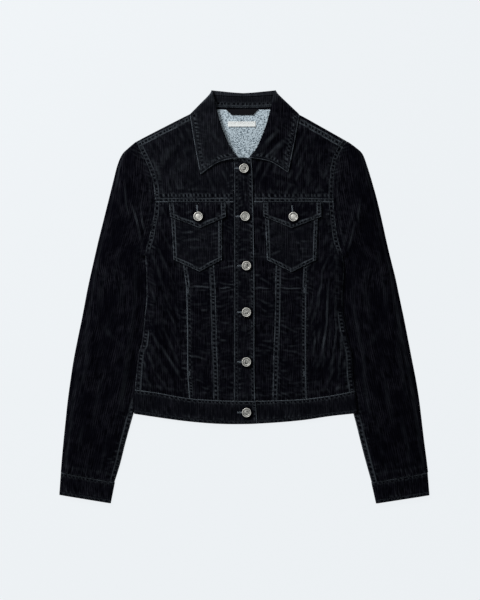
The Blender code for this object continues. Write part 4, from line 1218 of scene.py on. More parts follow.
def pointed_plan(spec, top_y):
    """The plan of a pocket or flap with a pointed lower edge."""
    left_top, right_top, right_low, point, left_low = outline_of(spec, top_y)
    share = (spec["point"][0] - left_low[0]) / (right_low[0] - left_low[0])
    middle = (left_top[0] + (right_top[0] - left_top[0]) * share, top_y)
    top, bottom = straight(left_top, middle, right_top), straight(left_low, point, right_low)
    return patch(top, straight(right_top, right_low), bottom, straight(left_top, left_low))


def make_pockets():
    pocket_bands = {"left": "pocket", "right": "pocket", "bottom": "pocket", "top": None}
    flap_bands = {"left": "flap_side", "right": "flap_side", "bottom": "flap_edge", "top": "under"}
    for side, sign in SIDES.items():
        flap = outline_of(FLAP_ROWS[side], FLAP_TOP_Y)
        cloth(
            f"pocket_{side}", pointed_plan(POCKET_ROWS[side], POCKET_TOP_Y),
            lambda x, y: front_height(side, x, y) + STEP, CLOTH, pocket_bands, 600 + 7 * sign,
            [f"front_{panel}_{side}" for panel in ("side", "mid", "centre")],
            shared=body_relief, cover=lambda x, y: bare(-inside_of(flap, x, y)),
        )
        cloth(
            f"flap_{side}", pointed_plan(FLAP_ROWS[side], FLAP_TOP_Y), partial(flap_height, side), CLOTH,
            flap_bands, 620 + 7 * sign, [f"pocket_{side}"], shared=body_relief,
        )


def sleeve_grid(side, step, short=0.0):
    """Plan points of a sleeve, with how far across (0 at the outer fold) and down the table each lies. The
    lower half stops this far short of the folds, and goes as far on under the armhole."""
    column = column_of(side)
    rows = [(row[column], row[0], float(edge_x(side, row[3])), row[3]) for row in CAP_ROWS]
    rows += [(row[column], row[0], row[3 + column], row[3]) for row in ARM_ROWS]
    outer, inner = ([row[k : k + 2] for row in rows] for k in (0, 2))
    fine = np.linspace(0.0, len(rows) - 1, 1200)
    run = lengths(between(outer, fine))
    down = np.interp(stations(run[-1], step) * run[-1], run, fine)
    a, b = between(outer, down), between(inner, down)
    way = np.gradient(a, axis=0)
    way /= np.linalg.norm(way, axis=1, keepdims=True)
    proud = SLEEVE_PROUD[side] * (1.0 - 0.5 * smooth((down - len(rows) + 6.0) / 4.0))
    a += SIDES[side] * np.stack([-way[:, 1], way[:, 0]], -1) * proud[:, None]
    cap = len(CAP_ROWS) - 1
    b[:, 0] = np.where(down <= cap, edge_x(side, b[:, 1]), b[:, 0])
    b[:, 0] -= SIDES[side] * short * (1.0 - 2.0 * smooth((down - cap) / 0.8))
    if short:
        tuck = smooth((down - cap + 1.5) / 0.9) * smooth((cap + 1.4 - down) / 0.8)
        b[:, 0] -= SIDES[side] * UNDERARM_TUCK * tuck
    width = np.linalg.norm(b - a, axis=1)
    t = stations(float(width.mean()), step)
    t = short / width.mean() + t * (1.0 - short / width.mean())
    plan = a[:, None] * (1 - t[None, :, None]) + b[:, None] * t[None, :, None]
    along = np.interp(down, fine, run)
    place = {
        "t": np.broadcast_to(t, plan.shape[:2]),
        "u": np.broadcast_to(down[:, None], plan.shape[:2]),
        "across": (t[None] - 0.5) * width[:, None] * 0.93,
        "along": np.broadcast_to(along[:, None], plan.shape[:2]),
    }
    if side == "left":
        plan, place = plan[:, ::-1], {key: values[:, ::-1] for key, values in place.items()}
    return plan, place

def on_floor(x, y):
    return 0.0 * x


def make_sleeves():
    cap = len(CAP_ROWS) - 1
    for side, sign in SIDES.items():
        out_side, in_side = OUT_AND_IN[side]
        plan, place = sleeve_grid(side, 2.0)
        t, u, across, along = (place[key] for key in ("t", "u", "across", "along"))
        to_cuff = along.max() - along
        relief = (
            0.4 * noise(across / 19.0, along / 60.0, 31 + sign)
            + 0.04 * noise(across / 9.0 + 0.05 * along, along / 34.0, 33 + sign)
            + 0.14 * noise(across / 5.0, along / 11.0, 35 + sign) * smooth((60.0 - to_cuff) / 60.0)
        )

        def shared(x, y):
            free = smooth((from_body(side, x, y) - 3.0) / 20.0) * smooth(t / 0.1) * smooth((1.0 - t) / 0.12)
            return free * smooth(to_cuff / 14.0) * (relief + creases(SLEEVE_CREASES[side], x, y) + 0.3)

        armhole = lambda x, y: smooth((cap + 0.4 - u) / 0.6)
        below = lambda x, y: smooth((u - cap - 0.5) / 0.6) * smooth((from_body(side, x, y) - 1.0) / 4.0)
        bands = {out_side: None, in_side: [("under", armhole), ("seam", below)]}
        cloth(
            f"sleeve_upper_{side}", plan, lambda x, y: sleeve_height(side, t, u, x, y)[0], CLOTH, bands,
            700 + 7 * sign, [f"sleeve_under_{side}"], shared=shared, cord=lambda x, y: (across, along),
            folded=(out_side, in_side), fold_low=on_floor,
            fold_weight=lambda x, y: np.where(t < 0.5, 1.0, smooth((u - cap) / 1.0)),
        )
        plan, place = sleeve_grid(side, COARSE, FOLD_INSET)
        cloth(
            f"sleeve_under_{side}", plan, on_floor, CLOTH, PLAIN, 720 + sign, [FLOOR],
            cord=lambda x, y: (place["across"], place["along"]), face_down=True,
        )


def cuff_plan(side, shorter=0.0, step=FINE):
    (x0, y0, x1, y1), (x2, y2, x3, y3) = CUFF_ROWS[side]
    seam, hem = straight((x0, y0), (x1, y1)), straight((x2, y2), (x3, y3))
    run = lengths(seam)[-1]
    share = np.linspace(shorter / run, 1.0 - shorter / run, 80)
    seam, hem = at_fractions(seam, share), at_fractions(hem, share)
    if side == "left":
        seam, hem = seam[::-1], hem[::-1]
    return patch(seam, straight(seam[-1], hem[-1]), hem, straight(seam[0], hem[0]), step)


def cuff_height(side, x):
    ends = [CUFF_ROWS[side][0][k] for k in (0, 2)]
    to_edge = abs(ends[0] - ends[1]) / 2 - np.abs(x - sum(ends) / 2)
    return DOUBLE + GAP + CUFF_PUFF * smooth(to_edge / 18.0)


def make_cuffs():
    bands = {"top": "cuff", "bottom": "hem", "left": None, "right": None}
    for side, sign in SIDES.items():
        (x0, y0, _, _), (x2, y2, _, _) = CUFF_ROWS[side]
        lean = (x2 - x0) / (y2 - y0)
        cord = lambda x, y: (x - lean * (y - y0), y)
        cloth(
            f"cuff_upper_{side}", cuff_plan(side), lambda x, y: cuff_height(side, x), DOUBLE, bands,
            800 + 7 * sign, [f"cuff_under_{side}"], cord=cord, folded=("left", "right"), fold_low=on_floor,
        )
        cloth(
            f"cuff_under_{side}", cuff_plan(side, FOLD_INSET, COARSE), on_floor, DOUBLE, bands, 820 + sign,
            [FLOOR], cord=cord, face_down=True,
        )


def make_collar():
    """The leaf, which folds down over the yokes from its roll, and the stand that carries it."""
    fine = np.linspace(0.0, len(COLLAR_ROWS) - 1, 900)
    names = ("seam", "join", "roll", "top", "belly", "edge")
    sections, rows_at = [], []
    for side in SIDES:
        rows = collar_points(side)
        run = 0.5 * (lengths(between(rows["edge"], fine)) + lengths(between(rows["roll"], fine)))
        places = np.concatenate([[0.0, 0.4, 0.9, 1.6], np.linspace(2.6, run[-1], int(run[-1] / FINE))])
        u = np.interp(places, run, fine)
        sections.append(np.stack([between(rows[key], u) for key in names]))
        rows_at.append(u)
    whole = np.concatenate([sections[0], sections[1][:, -2::-1]], axis=1)
    from_front = np.concatenate([rows_at[0], rows_at[1][-2::-1]])[:, None]
    hand = np.concatenate([np.full(len(rows_at[0]), -1.0), np.ones(len(rows_at[1]) - 1)])[:, None]
    make_leaf(whole[1:], from_front, hand)
    make_stand(whole)


def make_leaf(sections, from_front, hand):
    """The leaf through its sections, each so many of the table's rows from its front corner."""
    across = np.concatenate([np.linspace(0, 4, 44)[:-1], [3.96, 3.985, 4.0]])
    leaf = between(sections, across).swapaxes(0, 1)
    outwards = np.clip((across - 1.0) / 3.0, 0, 1)
    pressed = smooth((from_front - 4.4) / 1.0) * smooth((9.0 - from_front) / 1.0) * outwards
    leaf[..., 0] -= hand * COLLAR_PRESSED[0] * pressed
    leaf[..., 1] -= COLLAR_PRESSED[1] * pressed
    behind = smooth((from_front - 7.4) / 0.8)
    leaf[..., 2] = np.maximum(leaf[..., 2], LEAF_LOW + 0.5 * behind)
    # round the shoulders' corners the leaf turns under itself, where no stitches show
    shown = 1.0 - smooth((from_front - 4.1) / 0.4) * smooth((8.6 - from_front) / 0.4) + 0.0 * across
    surface = Surface(leaf, {"left": [], **{side: [("collar", shown)] for side in SQUARE[1:]}}, 900)
    normals = normals_of(leaf)
    x, y, z = leaf[..., 0], leaf[..., 1], leaf[..., 2]
    facing_up = smooth((normals[..., 2] - 0.2) / 0.5) * smooth((z - 3.0) / 2.0)
    broad = 0.5 * noise(x / 30.0, y / 30.0, 91) + 0.2 * noise(x / 9.0, y / 8.0, 92)
    lift = surface.lift + (broad + creases(COLLAR_CREASES, x, y)) * facing_up
    bump = convexity(lift)
    roll_shade = smooth((1.5 - across) / 0.3) * smooth((4.6 - from_front) / 0.6)
    # painted light in the turn at the back, where the trough beside the stand lies in shade, and no painted
    # shade there; elsewhere a painted highlight on crests and painted shade in dips
    turn = smooth((from_front - 4.6) / 0.8) * smooth((2.4 - across) / 0.8)
    wear_and_turn_light = WORN["collar_leaf"] * smooth(0.7 - x / 60.0) + TURN_PAINTED_LIGHT * turn
    rub_and_highlight = wear_and_turn_light + surface.rub_and_highlight + np.clip(bump * WEAR_AND_HIGHLIGHT_BY_BUMP, 0.0, 0.25)
    shade = (surface.shade + np.clip(-bump * SHADE_BY_BUMP, 0.0, 0.7)) * (1.0 - turn) + roll_shade
    collar_wall(
        "collar_leaf", leaf, SQUARE[1:], lift * (0.35 + 0.65 * facing_up), surface,
        cord_wear_and_painted_light(x, y + z, rub_and_highlight, shade), ["front_yoke_right", "front_yoke_left", FLOOR],
    )


def make_stand(sections):
    """The stand, from the neck seam up to where it is joined to the leaf."""
    away = sections[0] - sections[1]
    away /= np.linalg.norm(away, axis=1, keepdims=True)
    low, high = sections[0] - away * NECK_GAP, sections[1] + away * COLLAR_JOIN
    t = np.linspace(0, 1, 14)[None, :, None]
    stand = low[:, None] * (1 - t) + high[:, None] * t
    surface = Surface(stand, dict(dict.fromkeys(SQUARE, ()), left=[("neck", 1.0)]), 950)
    bump = convexity(surface.lift)
    # rubbed wear with a painted highlight on crests, and painted shade in dips and dents
    rub_and_highlight = WORN["collar_stand"] + surface.rub_and_highlight + np.clip(bump * WEAR_AND_HIGHLIGHT_BY_BUMP, 0.0, 0.4)
    shade = surface.shade + np.clip(-bump * SHADE_BY_BUMP, 0.0, 0.8)
    numbers = cord_wear_and_painted_light(stand[..., 0], stand[..., 1] + stand[..., 2], rub_and_highlight, shade)
    collar_wall("collar_stand", stand, SQUARE[:2], 0.5 * surface.lift, surface, numbers, ["back_yoke"])


def collar_wall(part, middle, rounded_sides, rise, surface, numbers, rests_on):
    """A piece of the collar on both sides of the grid through the middle of its cloth."""
    normals = normals_of(middle)
    drop = rounded(middle, rounded_sides)
    outer = middle + normals * (DOUBLE / 2 - drop + rise)[..., None]
    inner = middle - normals * (DOUBLE / 2 - 0.7 * drop)[..., None]
    piece = wall(part + "_cloth", outer, inner, "needlecord", numbers)
    declare(piece, outer, normals, surface, rests_on)


def lining_height(x, y):
    return back_height(x, y) + STEP


def on_lining(x, y):
    return lining_height(x, y) + LINING + GAP


def make_neck_pieces():
    """The facing inside the neck, the hanger loop and the label on it."""
    half = lambda y: read(FACING_ROWS, y, 1)
    top_y, low_y = FACING_ROWS[0][0] - 1.2, FACING_ROWS[-1][0]
    facing = panel_plan(lambda y: -half(y), half, level(top_y), level(low_y), 2.6)
    top, bottom = (straight((x0, y), (x1, y)) for x0, x1, y in LOOP.values())
    loop = patch(top, straight(top[-1], bottom[-1]), bottom, straight(top[0], bottom[0]), 1.2)
    x0, x1, y0, y1 = LABEL
    label = panel_plan(upright(x0), upright(x1), level(y0), level(y1), 1.2)
    curled = lambda x, y: on_lining(x, y) + LABEL_CURL * smooth((y1 + 4.5 - y) / 4.5)
    for part, plan, under, thickness, seed, rests_on, slot in (
        ("back_neck_facing", facing, lining_height, LINING, 960, "back_yoke", "woven_facing"),
        ("hanger_loop", loop, on_lining, CLOTH, 970, "back_neck_facing", "hanger_tape"),
        ("neck_label", label, curled, LINING * 0.5, 980, "back_neck_facing", "label_satin"),
    ):
        cloth(part, plan, under, thickness, PLAIN, seed, [rests_on], slot)


# ---- buttons, buttonholes and bartacks ---------------------------------------------------------------------
BUTTON_STEPS = 72
# radius and height over the cloth: a domed middle in a pressed ring, a raised rim and the shank below
BUTTON_PROFILE = (
    (0.0, 3.5), (1.2, 3.48), (2.4, 3.38), (3.4, 3.2), (4.2, 2.98), (4.6, 2.8), (4.9, 2.72), (5.2, 2.8),
    (5.5, 3.02), (5.9, 3.12), (6.3, 3.05), (6.6, 2.86), (6.9, 2.84), (7.2, 3.0), (7.6, 3.3), (8.0, 3.42),
    (8.4, 3.36), (8.7, 3.12), (8.8, 2.75), (8.7, 2.35), (8.3, 2.0), (7.0, 1.85), (4.4, 1.75), (4.1, 1.3),
    (4.0, 0.0),
)
CAP_ROUNDS = 18  # so many of the profile's points after the middle lie on the cap's upper face
BEADS = 40  # small beads pressed round the ring
BEAD_RING = 5.5
BUTTON_SHRINK = 0.93  # the caps show a little smaller than their solids
# radius, half width and depth of tone of the rings that stay dark when the metal is tumbled
DARK_RINGS = ((6.15, 0.75, 1.0), (4.4, 0.45, 0.4))
DARK_MIDDLE_AND_SHADE = {"front": 1.0, "flap": 0.2}  # how dark the middle of the front and flap buttons is: tarnish in its pits, and on the front buttons painted shade besides
# from a button, where its buttonhole starts and ends, in x and y, its half width and its stitches' length
HOLES = {"front": (-16.5, 0.0, 3.0, 0.0, 0.7, 1.5), "flap": (-2.2, 20.0, -0.6, -3.0, 0.6, 1.4)}
BARTACKS = ((17.0, 6.0), (-134.0, -143.0))  # the y at which the bars on the pocket mouths start and end


def make_button(name, x, y, base, seed, middle):
    """A turned shank button with a beaded ring and a hammered middle."""
    profile = np.array(BUTTON_PROFILE[1:]) * (BUTTON_SHRINK, 1.0)
    angle = np.linspace(0.0, 2 * math.pi, BUTTON_STEPS, endpoint=False)
    radius, height = profile[:, 0][:, None], profile[:, 1][:, None]
    beads = 0.04 * np.cos(BEADS * angle)[None] * np.exp(-(((radius - BEAD_RING) / 0.5) ** 2))
    dome = noise(radius * np.cos(angle) * 0.9 + 9, radius * np.sin(angle) * 0.9 + 9, seed)
    hammered = 0.16 * (dome - 0.5)
    hammered = hammered * smooth((4.4 - radius) / 1.2)
    on_top = np.arange(len(profile))[:, None] < CAP_ROUNDS
    z = height + (beads + hammered) * on_top
    points = np.stack([x + radius * np.cos(angle), y + radius * np.sin(angle), base + z], -1).reshape(-1, 3)
    patina_and_shade = sum(depth * np.exp(-(((radius - at) / half) ** 2)) for at, half, depth in DARK_RINGS) * on_top
    pitted = 0.35 + 0.65 * smooth(2.6 * (dome - 0.35))
    # the middle darkens with tarnish in its pits and, on the front buttons, with painted shade
    patina_and_shade = patina_and_shade + middle * smooth((4.6 - radius) / 1.0) * pitted * on_top
    patina_and_shade = np.clip(patina_and_shade, 0.0, 0.96)
    patina_and_shade = np.concatenate([patina_and_shade.ravel(), [patina_and_shade[0].mean(), 0.0]])
    k = np.arange(BUTTON_STEPS)
    n = (k + 1) % BUTTON_STEPS
    ring = BUTTON_STEPS * np.arange(len(profile) - 1)[:, None]
    below = ring + BUTTON_STEPS
    faces = np.stack([ring + k, below + k, below + n, ring + n], -1).reshape(-1, 4).tolist()
    top, low, last = len(points), len(points) + 1, len(points) - BUTTON_STEPS
    points = np.concatenate([points, [(x, y, base + BUTTON_PROFILE[0][1]), (x, y, base)]])
    for a, b in zip(k.tolist(), n.tolist()):
        faces += [(top, a, b), (low, last + b, last + a)]
    button = add_piece(name, points, faces, "antique_nickel", {"patina_and_shade": patina_and_shade})
    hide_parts(name.removesuffix("_turned"))


def satin_bar(part, x0, y0, x1, y1, half, pitch=0.8):
    """Close stitches across a line, half this far out on each side: round a buttonhole or in a bartack."""
    run = math.hypot(x1 - x0, y1 - y0)
    way = np.array(((x1 - x0) / run, (y1 - y0) / run, 0.0))
    cross = np.array((-way[1], way[0], 0.0))
    places, normals = [], []
    for k in range(int(run / pitch) + 1):
        for hand in (-1, 1):
            x, y = np.array((x0, y0)) + way[:2] * k * pitch + cross[:2] * hand * half
            z, n = on_cloth(part, x, y)
            places.append((x, y, z))
            normals.append(n)
    return np.array(places), np.tile(cross, (len(places), 1)), np.array(normals)


def make_buttons():
    last = len(FRONT_BUTTONS)
    buttons = []
    for number, place in enumerate(FRONT_BUTTONS, 1):
        buttons.append((f"front_{number}", "placket_right", over_placket_height, 40 + number, place))
    for side, place in FLAP_BUTTONS.items():
        buttons.append((f"flap_{side}", f"flap_{side}", partial(flap_height, side), 50 + SIDES[side], place))
    for name, part, height_at, seed, (x, y) in buttons:
        at, row = (np.array(x), np.array(y)), name.split("_")[0]
        base = height_at(*at) + CLOTH + body_relief(*at)
        if name == f"front_{last}":
            part, base = "waistband_right", waistband_height("right", *at) + DOUBLE
        make_button(f"button_{name}_turned", x, y, float(base) + 0.1, seed, DARK_MIDDLE_AND_SHADE[row])
        x0, y0, x1, y1, half, length = HOLES[row]
        hole = satin_bar(part, x + x0, y + y0, x + x1, y + y1, half)
        add_stitches(f"buttonhole_{name}", hole, length, 0.6, 0.05, "buttonhole_twist")


def make_bartacks():
    """Short bars of close stitches at the ends of the pocket mouths in the outer seams."""
    for side, sign in SIDES.items():
        for number, (y0, y1) in enumerate(BARTACKS, 1):
            x0, x1 = (float(seam_x(side, "outer", y)) - sign * 3.5 for y in (y0, y1))
            bar = satin_bar(f"front_mid_{side}", x0, y0, x1, y1, 0.6, 0.7)
            add_stitches(f"bartack_{side}_{number}", bar, 1.8, 0.7, 0.0, "bartack_thread")


# ---- materials ---------------------------------------------------------------------------------------------
WALE = 3.4  # mm from one wale of the needlecord to the next. The real 1.6 mm is finer than a pixel here
COLOURS = {"data_type": "RGBA"}  # what a Mix node mixes, from inputs 6 and 7, by input 0, to output 2
FLAT_NOISE = {"noise_dimensions": "2D"}


def linear(hex_colour):
    """An sRGB colour 0xRRGGBB as the linear colour that Blender works in."""
    channels = [(hex_colour >> shift & 255) / 255.0 for shift in (16, 8, 0)]
    return tuple(c / 12.92 if c <= 0.04045 else ((c + 0.055) / 1.055) ** 2.4 for c in channels) + (1.0,)


def feed(added, **inputs):
    """Gives a node's or shader's inputs, by name or as n and a number, their values or links from sockets."""
    for key, value in inputs.items():
        socket = added.inputs[int(key[1:]) if key[0] == "n" and key[1:].isdigit() else key.replace("_", " ")]
        if isinstance(value, bpy.types.NodeSocket):
            added.id_data.links.new(value, socket)
        else:
            socket.default_value = value


def node(tree, kind, settings=(), give=0, **inputs):
    """Adds a shader node of this kind and gives one of its outputs."""
    added = tree.nodes.new("ShaderNode" + kind)
    for key, value in dict(settings).items():
        setattr(added, key, value)
    feed(added, **inputs)
    return added.outputs[give]


def material(name, **constants):
    """A new material: its node tree and shader, with these constants on the shader's own sockets."""
    made_of = bpy.data.materials.new(name)
    made_of.use_nodes = True
    shader = made_of.node_tree.nodes["Principled BSDF"]
    feed(shader, **constants)
    return made_of, made_of.node_tree, shader


def make_needlecord():
    """Cotton needlecord, dyed near black: cut pile in fine upright wales, so it drinks the light, greys where
    it is rubbed on ridges and seams, is painted paler as a highlight on crests and darker as shade in dents
    and dips and beside the buttons, and shows a faint blue nap where it turns from the eye."""
    look, tree, shader = material(
        "Needlecord", Roughness=0.65, IOR=1.45, Specular_IOR_Level=0.004,
        Sheen_Weight=0.02, Sheen_Roughness=0.4, Sheen_Tint=linear(0x9898A8),
    )
    cord = node(tree, "Attribute", {"attribute_name": "cord"}, 1)
    rub_and_highlight, shade = (node(tree, "Attribute", {"attribute_name": name}, 2) for name in ("rub_and_highlight", "shade"))
    # in mm across and down the cloth: how the wales wander, their streaks, specks, and patches a hand wide
    unevenness = []
    for wide, long, detail in ((14.0, 30.0, 1.0), (2.2, 24.0, 3.0), (9.0, 11.0, 4.0), (42.0, 38.0, 2.0)):
        place = node(tree, "Mapping", {}, Vector=cord, Scale=(1 / wide, 1 / long, 1.0))
        unevenness.append(node(tree, "TexNoise", FLAT_NOISE, Vector=place, Scale=1.0, Detail=detail))
    wander, streak, specks, patches = unevenness
    across = node(tree, "SeparateXYZ", {}, 0, Vector=cord)
    across = node(tree, "Math", {"operation": "MULTIPLY_ADD"}, n0=wander, n1=3.0, n2=across)
    phase = node(tree, "Math", {"operation": "MULTIPLY"}, n0=across, n1=2 * math.pi / WALE)
    wave = node(tree, "Math", {"operation": "SINE"}, n0=phase)
    wale = node(tree, "MapRange", {}, Value=wave, From_Min=-1.0)
    raised = node(tree, "MapRange", {}, Value=streak, From_Min=0.35, From_Max=0.7)
    pile = node(tree, "Math", {"operation": "MULTIPLY"}, n0=raised, n1=wale)
    grain = node(tree, "MapRange", {}, Value=pile, To_Min=0.55)
    faded = node(tree, "MapRange", {}, Value=specks, From_Min=0.45, From_Max=0.75, To_Max=0.4)
    fresh = node(tree, "MapRange", {}, Value=patches, From_Min=0.42, From_Max=0.66, To_Max=0.75)
    # the cloth greys with rubbed wear and with painted highlights on crests and between dents, and darkens
    # with painted shade in dents and dips and a painted shadow beside each button
    paling = node(tree, "Math", {"operation": "MULTIPLY"}, n0=rub_and_highlight, n1=grain)
    dark = node(tree, "Math", {"operation": "MULTIPLY"}, n0=shade, n1=0.9)
    body = node(tree, "Mix", COLOURS, 2, n0=pile, n6=linear(0x010103), n7=linear(0x141419))
    for amount, colour in ((faded, 0x131319), (fresh, 0x020205), (paling, 0x5F676E), (dark, 0x010103)):
        body = node(tree, "Mix", COLOURS, 2, n0=amount, n6=body, n7=linear(colour))
    height = node(tree, "Math", {"operation": "ADD"}, n0=wale, n1=streak)
    bump = node(tree, "Bump", {}, Strength=0.5, Distance=0.0004, Height=height)
    feed(shader, Base_Color=body, Normal=bump)
    return look


def make_facing():
    """Washed denim seen from its pale side: white weft over blue warp, so it is speckled at thread scale."""
    look, tree, shader = material("Woven facing", Roughness=0.95, IOR=1.45, Specular_IOR_Level=0.1)
    place = node(tree, "TexCoord", {}, 3)
    # threads are 0.6 mm thick, and drawn in clumps of about 2 mm, which is what a pixel can show
    clumps = node(tree, "TexNoise", {}, Vector=place, Scale=1 / (2.3 * MM), Detail=3.0, Roughness=0.65)
    broad = node(tree, "TexNoise", {}, Vector=place, Scale=1 / (16.0 * MM), Detail=2.0)
    # lower down, the dark speckles grow denser, so the facing is darker towards the bottom
    down = node(tree, "SeparateXYZ", {}, 1, Vector=place)
    dense = node(tree, "MapRange", {}, Value=down, From_Min=0.25, From_Max=0.33, To_Min=0.085, To_Max=0.05)
    warp = node(tree, "Math", {"operation": "SUBTRACT"}, n0=clumps, n1=dense)
    dots = node(tree, "MapRange", {}, Value=warp, From_Min=0.35, From_Max=0.47)
    pale = node(tree, "MapRange", {}, Value=broad, From_Min=0.4, From_Max=0.7, To_Max=0.25)
    colour = node(tree, "Mix", COLOURS, 2, n0=dots, n6=linear(0x303C44), n7=linear(0x98A4AB))
    colour = node(tree, "Mix", COLOURS, 2, n0=pale, n6=colour, n7=linear(0xA4AFB5))
    bump = node(tree, "Bump", {}, Strength=0.6, Distance=0.0003, Height=clumps)
    feed(shader, Base_Color=colour, Normal=bump)
    return look


def make_tape():
    """Cotton herringbone tape, dyed black: matt, with a fine slanting weave of ribs 1 mm apart."""
    look, tree, shader = material("Hanger tape", Roughness=0.85, IOR=1.45, Specular_IOR_Level=0.02)
    place = node(tree, "TexCoord", {}, 3)
    slant = {"bands_direction": "DIAGONAL"}
    weave = node(tree, "TexWave", slant, Vector=place, Scale=0.32 / MM, Distortion=1.0)
    colour = node(tree, "Mix", COLOURS, 2, n0=weave, n6=linear(0x0B0B0C), n7=linear(0x111114))
    bump = node(tree, "Bump", {}, Strength=0.5, Distance=0.0002, Height=weave)
    feed(shader, Base_Color=colour, Normal=bump)
    return look


def make_label_satin():
    """Polyester satin ribbon, left bare: smooth, with a low sheen along its fine warp."""
    look, tree, shader = material("Label satin", Roughness=0.5, IOR=1.5, Sheen_Weight=0.2)
    place = node(tree, "TexCoord", {}, 3)
    warp = node(tree, "TexWave", {"bands_direction": "Y"}, Vector=place, Scale=0.42 / MM, Distortion=0.5)
    stain = node(tree, "TexNoise", {}, Vector=place, Scale=0.09 / MM, Detail=2.0)
    threads = node(tree, "MapRange", {}, Value=warp, To_Max=0.35)
    dull = node(tree, "MapRange", {}, Value=stain, From_Min=0.45, From_Max=0.75, To_Max=0.3)
    colour = node(tree, "Mix", COLOURS, 2, n0=threads, n6=linear(0xB0B3B2), n7=linear(0x9EA1A0))
    colour = node(tree, "Mix", COLOURS, 2, n0=dull, n6=colour, n7=linear(0xACACA6))
    bump = node(tree, "Bump", {}, Strength=0.3, Distance=0.0001, Height=warp)
    feed(shader, Base_Color=colour, Normal=bump)
    return look


def make_nickel():
    """Nickel-plated brass, antiqued and tumbled: bright on high spots, dark with patina in its recesses,
    painted with shade on the front buttons' middles, and scuffed.
    """
    look, tree, shader = material("Antique nickel", Metallic=1.0)
    place = node(tree, "TexCoord", {}, 3)
    patina_and_shade_mix = node(tree, "Attribute", {"attribute_name": "patina_and_shade"}, 2)
    scuffs = node(tree, "TexNoise", {}, Vector=place, Scale=0.7 / MM, Detail=4.0, Roughness=0.7)
    tarnish = node(tree, "TexNoise", {}, Vector=place, Scale=1 / (4.0 * MM), Detail=2.0)
    stained = node(tree, "MapRange", {}, Value=tarnish, From_Min=0.35, From_Max=0.7)
    dull = node(tree, "MapRange", {}, Value=scuffs, From_Min=0.3, From_Max=0.7, To_Min=0.6, To_Max=0.76)
    colour = node(tree, "Mix", COLOURS, 2, n0=stained, n6=linear(0xCDCCC6), n7=linear(0xA9A8A3))
    colour = node(tree, "Mix", COLOURS, 2, n0=patina_and_shade_mix, n6=colour, n7=linear(0x242526))
    bump = node(tree, "Bump", {}, Strength=0.35, Distance=0.0002, Height=scuffs)
    feed(shader, Base_Color=colour, Roughness=dull, Normal=bump)
    return look


def make_thread(name, dark, pale):
    """Core-spun polyester thread: a smooth twisted yarn, a little glossier than the cord."""
    look, tree, shader = material(name, Roughness=0.6, IOR=1.5, Specular_IOR_Level=0.03)
    place = node(tree, "TexCoord", {}, 3)
    lint = node(tree, "TexNoise", {}, Vector=place, Scale=0.3 / MM, Detail=2.0)
    colour = node(tree, "Mix", COLOURS, 2, n0=lint, n6=linear(dark), n7=linear(pale))
    feed(shader, Base_Color=colour)
    return look


FINISHES = {
    "needlecord": make_needlecord(),
    "woven_facing": make_facing(),
    "hanger_tape": make_tape(),
    "label_satin": make_label_satin(),
    "antique_nickel": make_nickel(),
    "core_spun_thread": make_thread("Core-spun thread, near black", 0x0D0F12, 0x2A2F34),
    "buttonhole_twist": make_thread("Buttonhole twist, grey", 0x3A4046, 0x6C747B),
    "bartack_thread": make_thread("Bartack thread, dark grey", 0x1E2226, 0x454B51),
}


# ---- studio ------------------------------------------------------------------------------------------------
PHOTO_SIZE = (480, 600)  # pixels
PIXEL = 1.8  # mm on the floor
LOOK_AT = (-7.65 * MM, -5.85 * MM)  # the middle of the picture, in metres
CAMERA_HEIGHT = 3000.0
FILM = 36.0  # mm, the long side
PAPER = 0xEEF2F5
PAPER_GLOW = 0.955
PAPER_HALF = 4.0  # metres
PAPER_LOW = -0.0002  # metres. The cloth's lowest points lie just over it
ROOM_LIGHT = 0.36
# name, place in metres, width and height in metres, watts
LIGHTS = (
    ("window_softbox", (-1.5, 1.5, 1.3), (0.8, 0.8), 105.0),
    ("overhead_softbox", (0.2, -0.3, 2.6), (1.6, 1.6), 12.0),
)


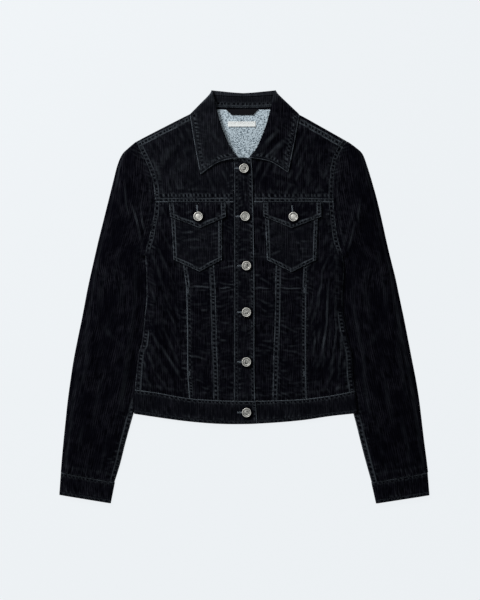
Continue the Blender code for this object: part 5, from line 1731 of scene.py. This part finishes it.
def make_camera():
    camera = bpy.data.objects.new("overhead_camera", bpy.data.cameras.new("overhead_camera"))
    camera.data.sensor_width = FILM
    camera.data.lens = FILM * CAMERA_HEIGHT / (PHOTO_SIZE[1] * PIXEL)
    camera.data.clip_end = 50.0
    camera.location = (*LOOK_AT, CAMERA_HEIGHT * MM)
    bpy.context.scene.collection.objects.link(camera)
    bpy.context.scene.camera = camera


def make_paper():
    """A sheet of white paper under the jacket: matt, and lit so evenly that it seems to glow."""
    look, tree, shader = material(
        "White paper", Roughness=1.0, Specular_IOR_Level=0.0,
        Emission_Color=linear(PAPER), Emission_Strength=PAPER_GLOW,
    )
    place = node(tree, "TexCoord", {}, 3)
    fibres = node(tree, "TexNoise", {}, Vector=place, Scale=0.9 / MM, Detail=2.0)
    colour = node(tree, "Mix", COLOURS, 2, n0=fibres, n6=linear(0x2C2D2E), n7=linear(0x2E2F30))
    feed(shader, Base_Color=colour)
    mesh = bpy.data.meshes.new(FLOOR)
    corners = [(x * PAPER_HALF, y * PAPER_HALF, 0) for x, y in ((-1, -1), (1, -1), (1, 1), (-1, 1))]
    mesh.from_pydata(corners, [], [(0, 1, 2, 3)])
    mesh.materials.append(look)
    floor = bpy.data.objects.new(FLOOR, mesh)
    floor.location.z = PAPER_LOW
    bpy.context.scene.collection.objects.link(floor)


def make_lights():
    scene = bpy.context.scene
    for name, place, size, power in LIGHTS:
        light = bpy.data.objects.new(name, bpy.data.lights.new(name, "AREA"))
        light.data.shape = "RECTANGLE"
        light.data.size, light.data.size_y = size
        light.data.energy = power
        light.location = place
        aim = np.array((*LOOK_AT, 0.0)) - np.array(place)
        aim /= np.linalg.norm(aim)
        light.rotation_euler = (math.acos(-aim[2]), 0.0, math.atan2(aim[1], aim[0]) - math.pi / 2)
        scene.collection.objects.link(light)
    world = bpy.data.worlds.new("studio")
    world.use_nodes = True
    feed(world.node_tree.nodes["Background"], Color=linear(PAPER), Strength=ROOM_LIGHT)
    scene.world = world
    scene.view_settings.view_transform = "Standard"


make_sleeves()
make_cuffs()
make_backs()
make_neck_pieces()
make_fronts()
make_plackets()
make_waistband()
make_pockets()
make_collar()
make_buttons()
make_bartacks()
make_camera()
make_paper()
make_lights()
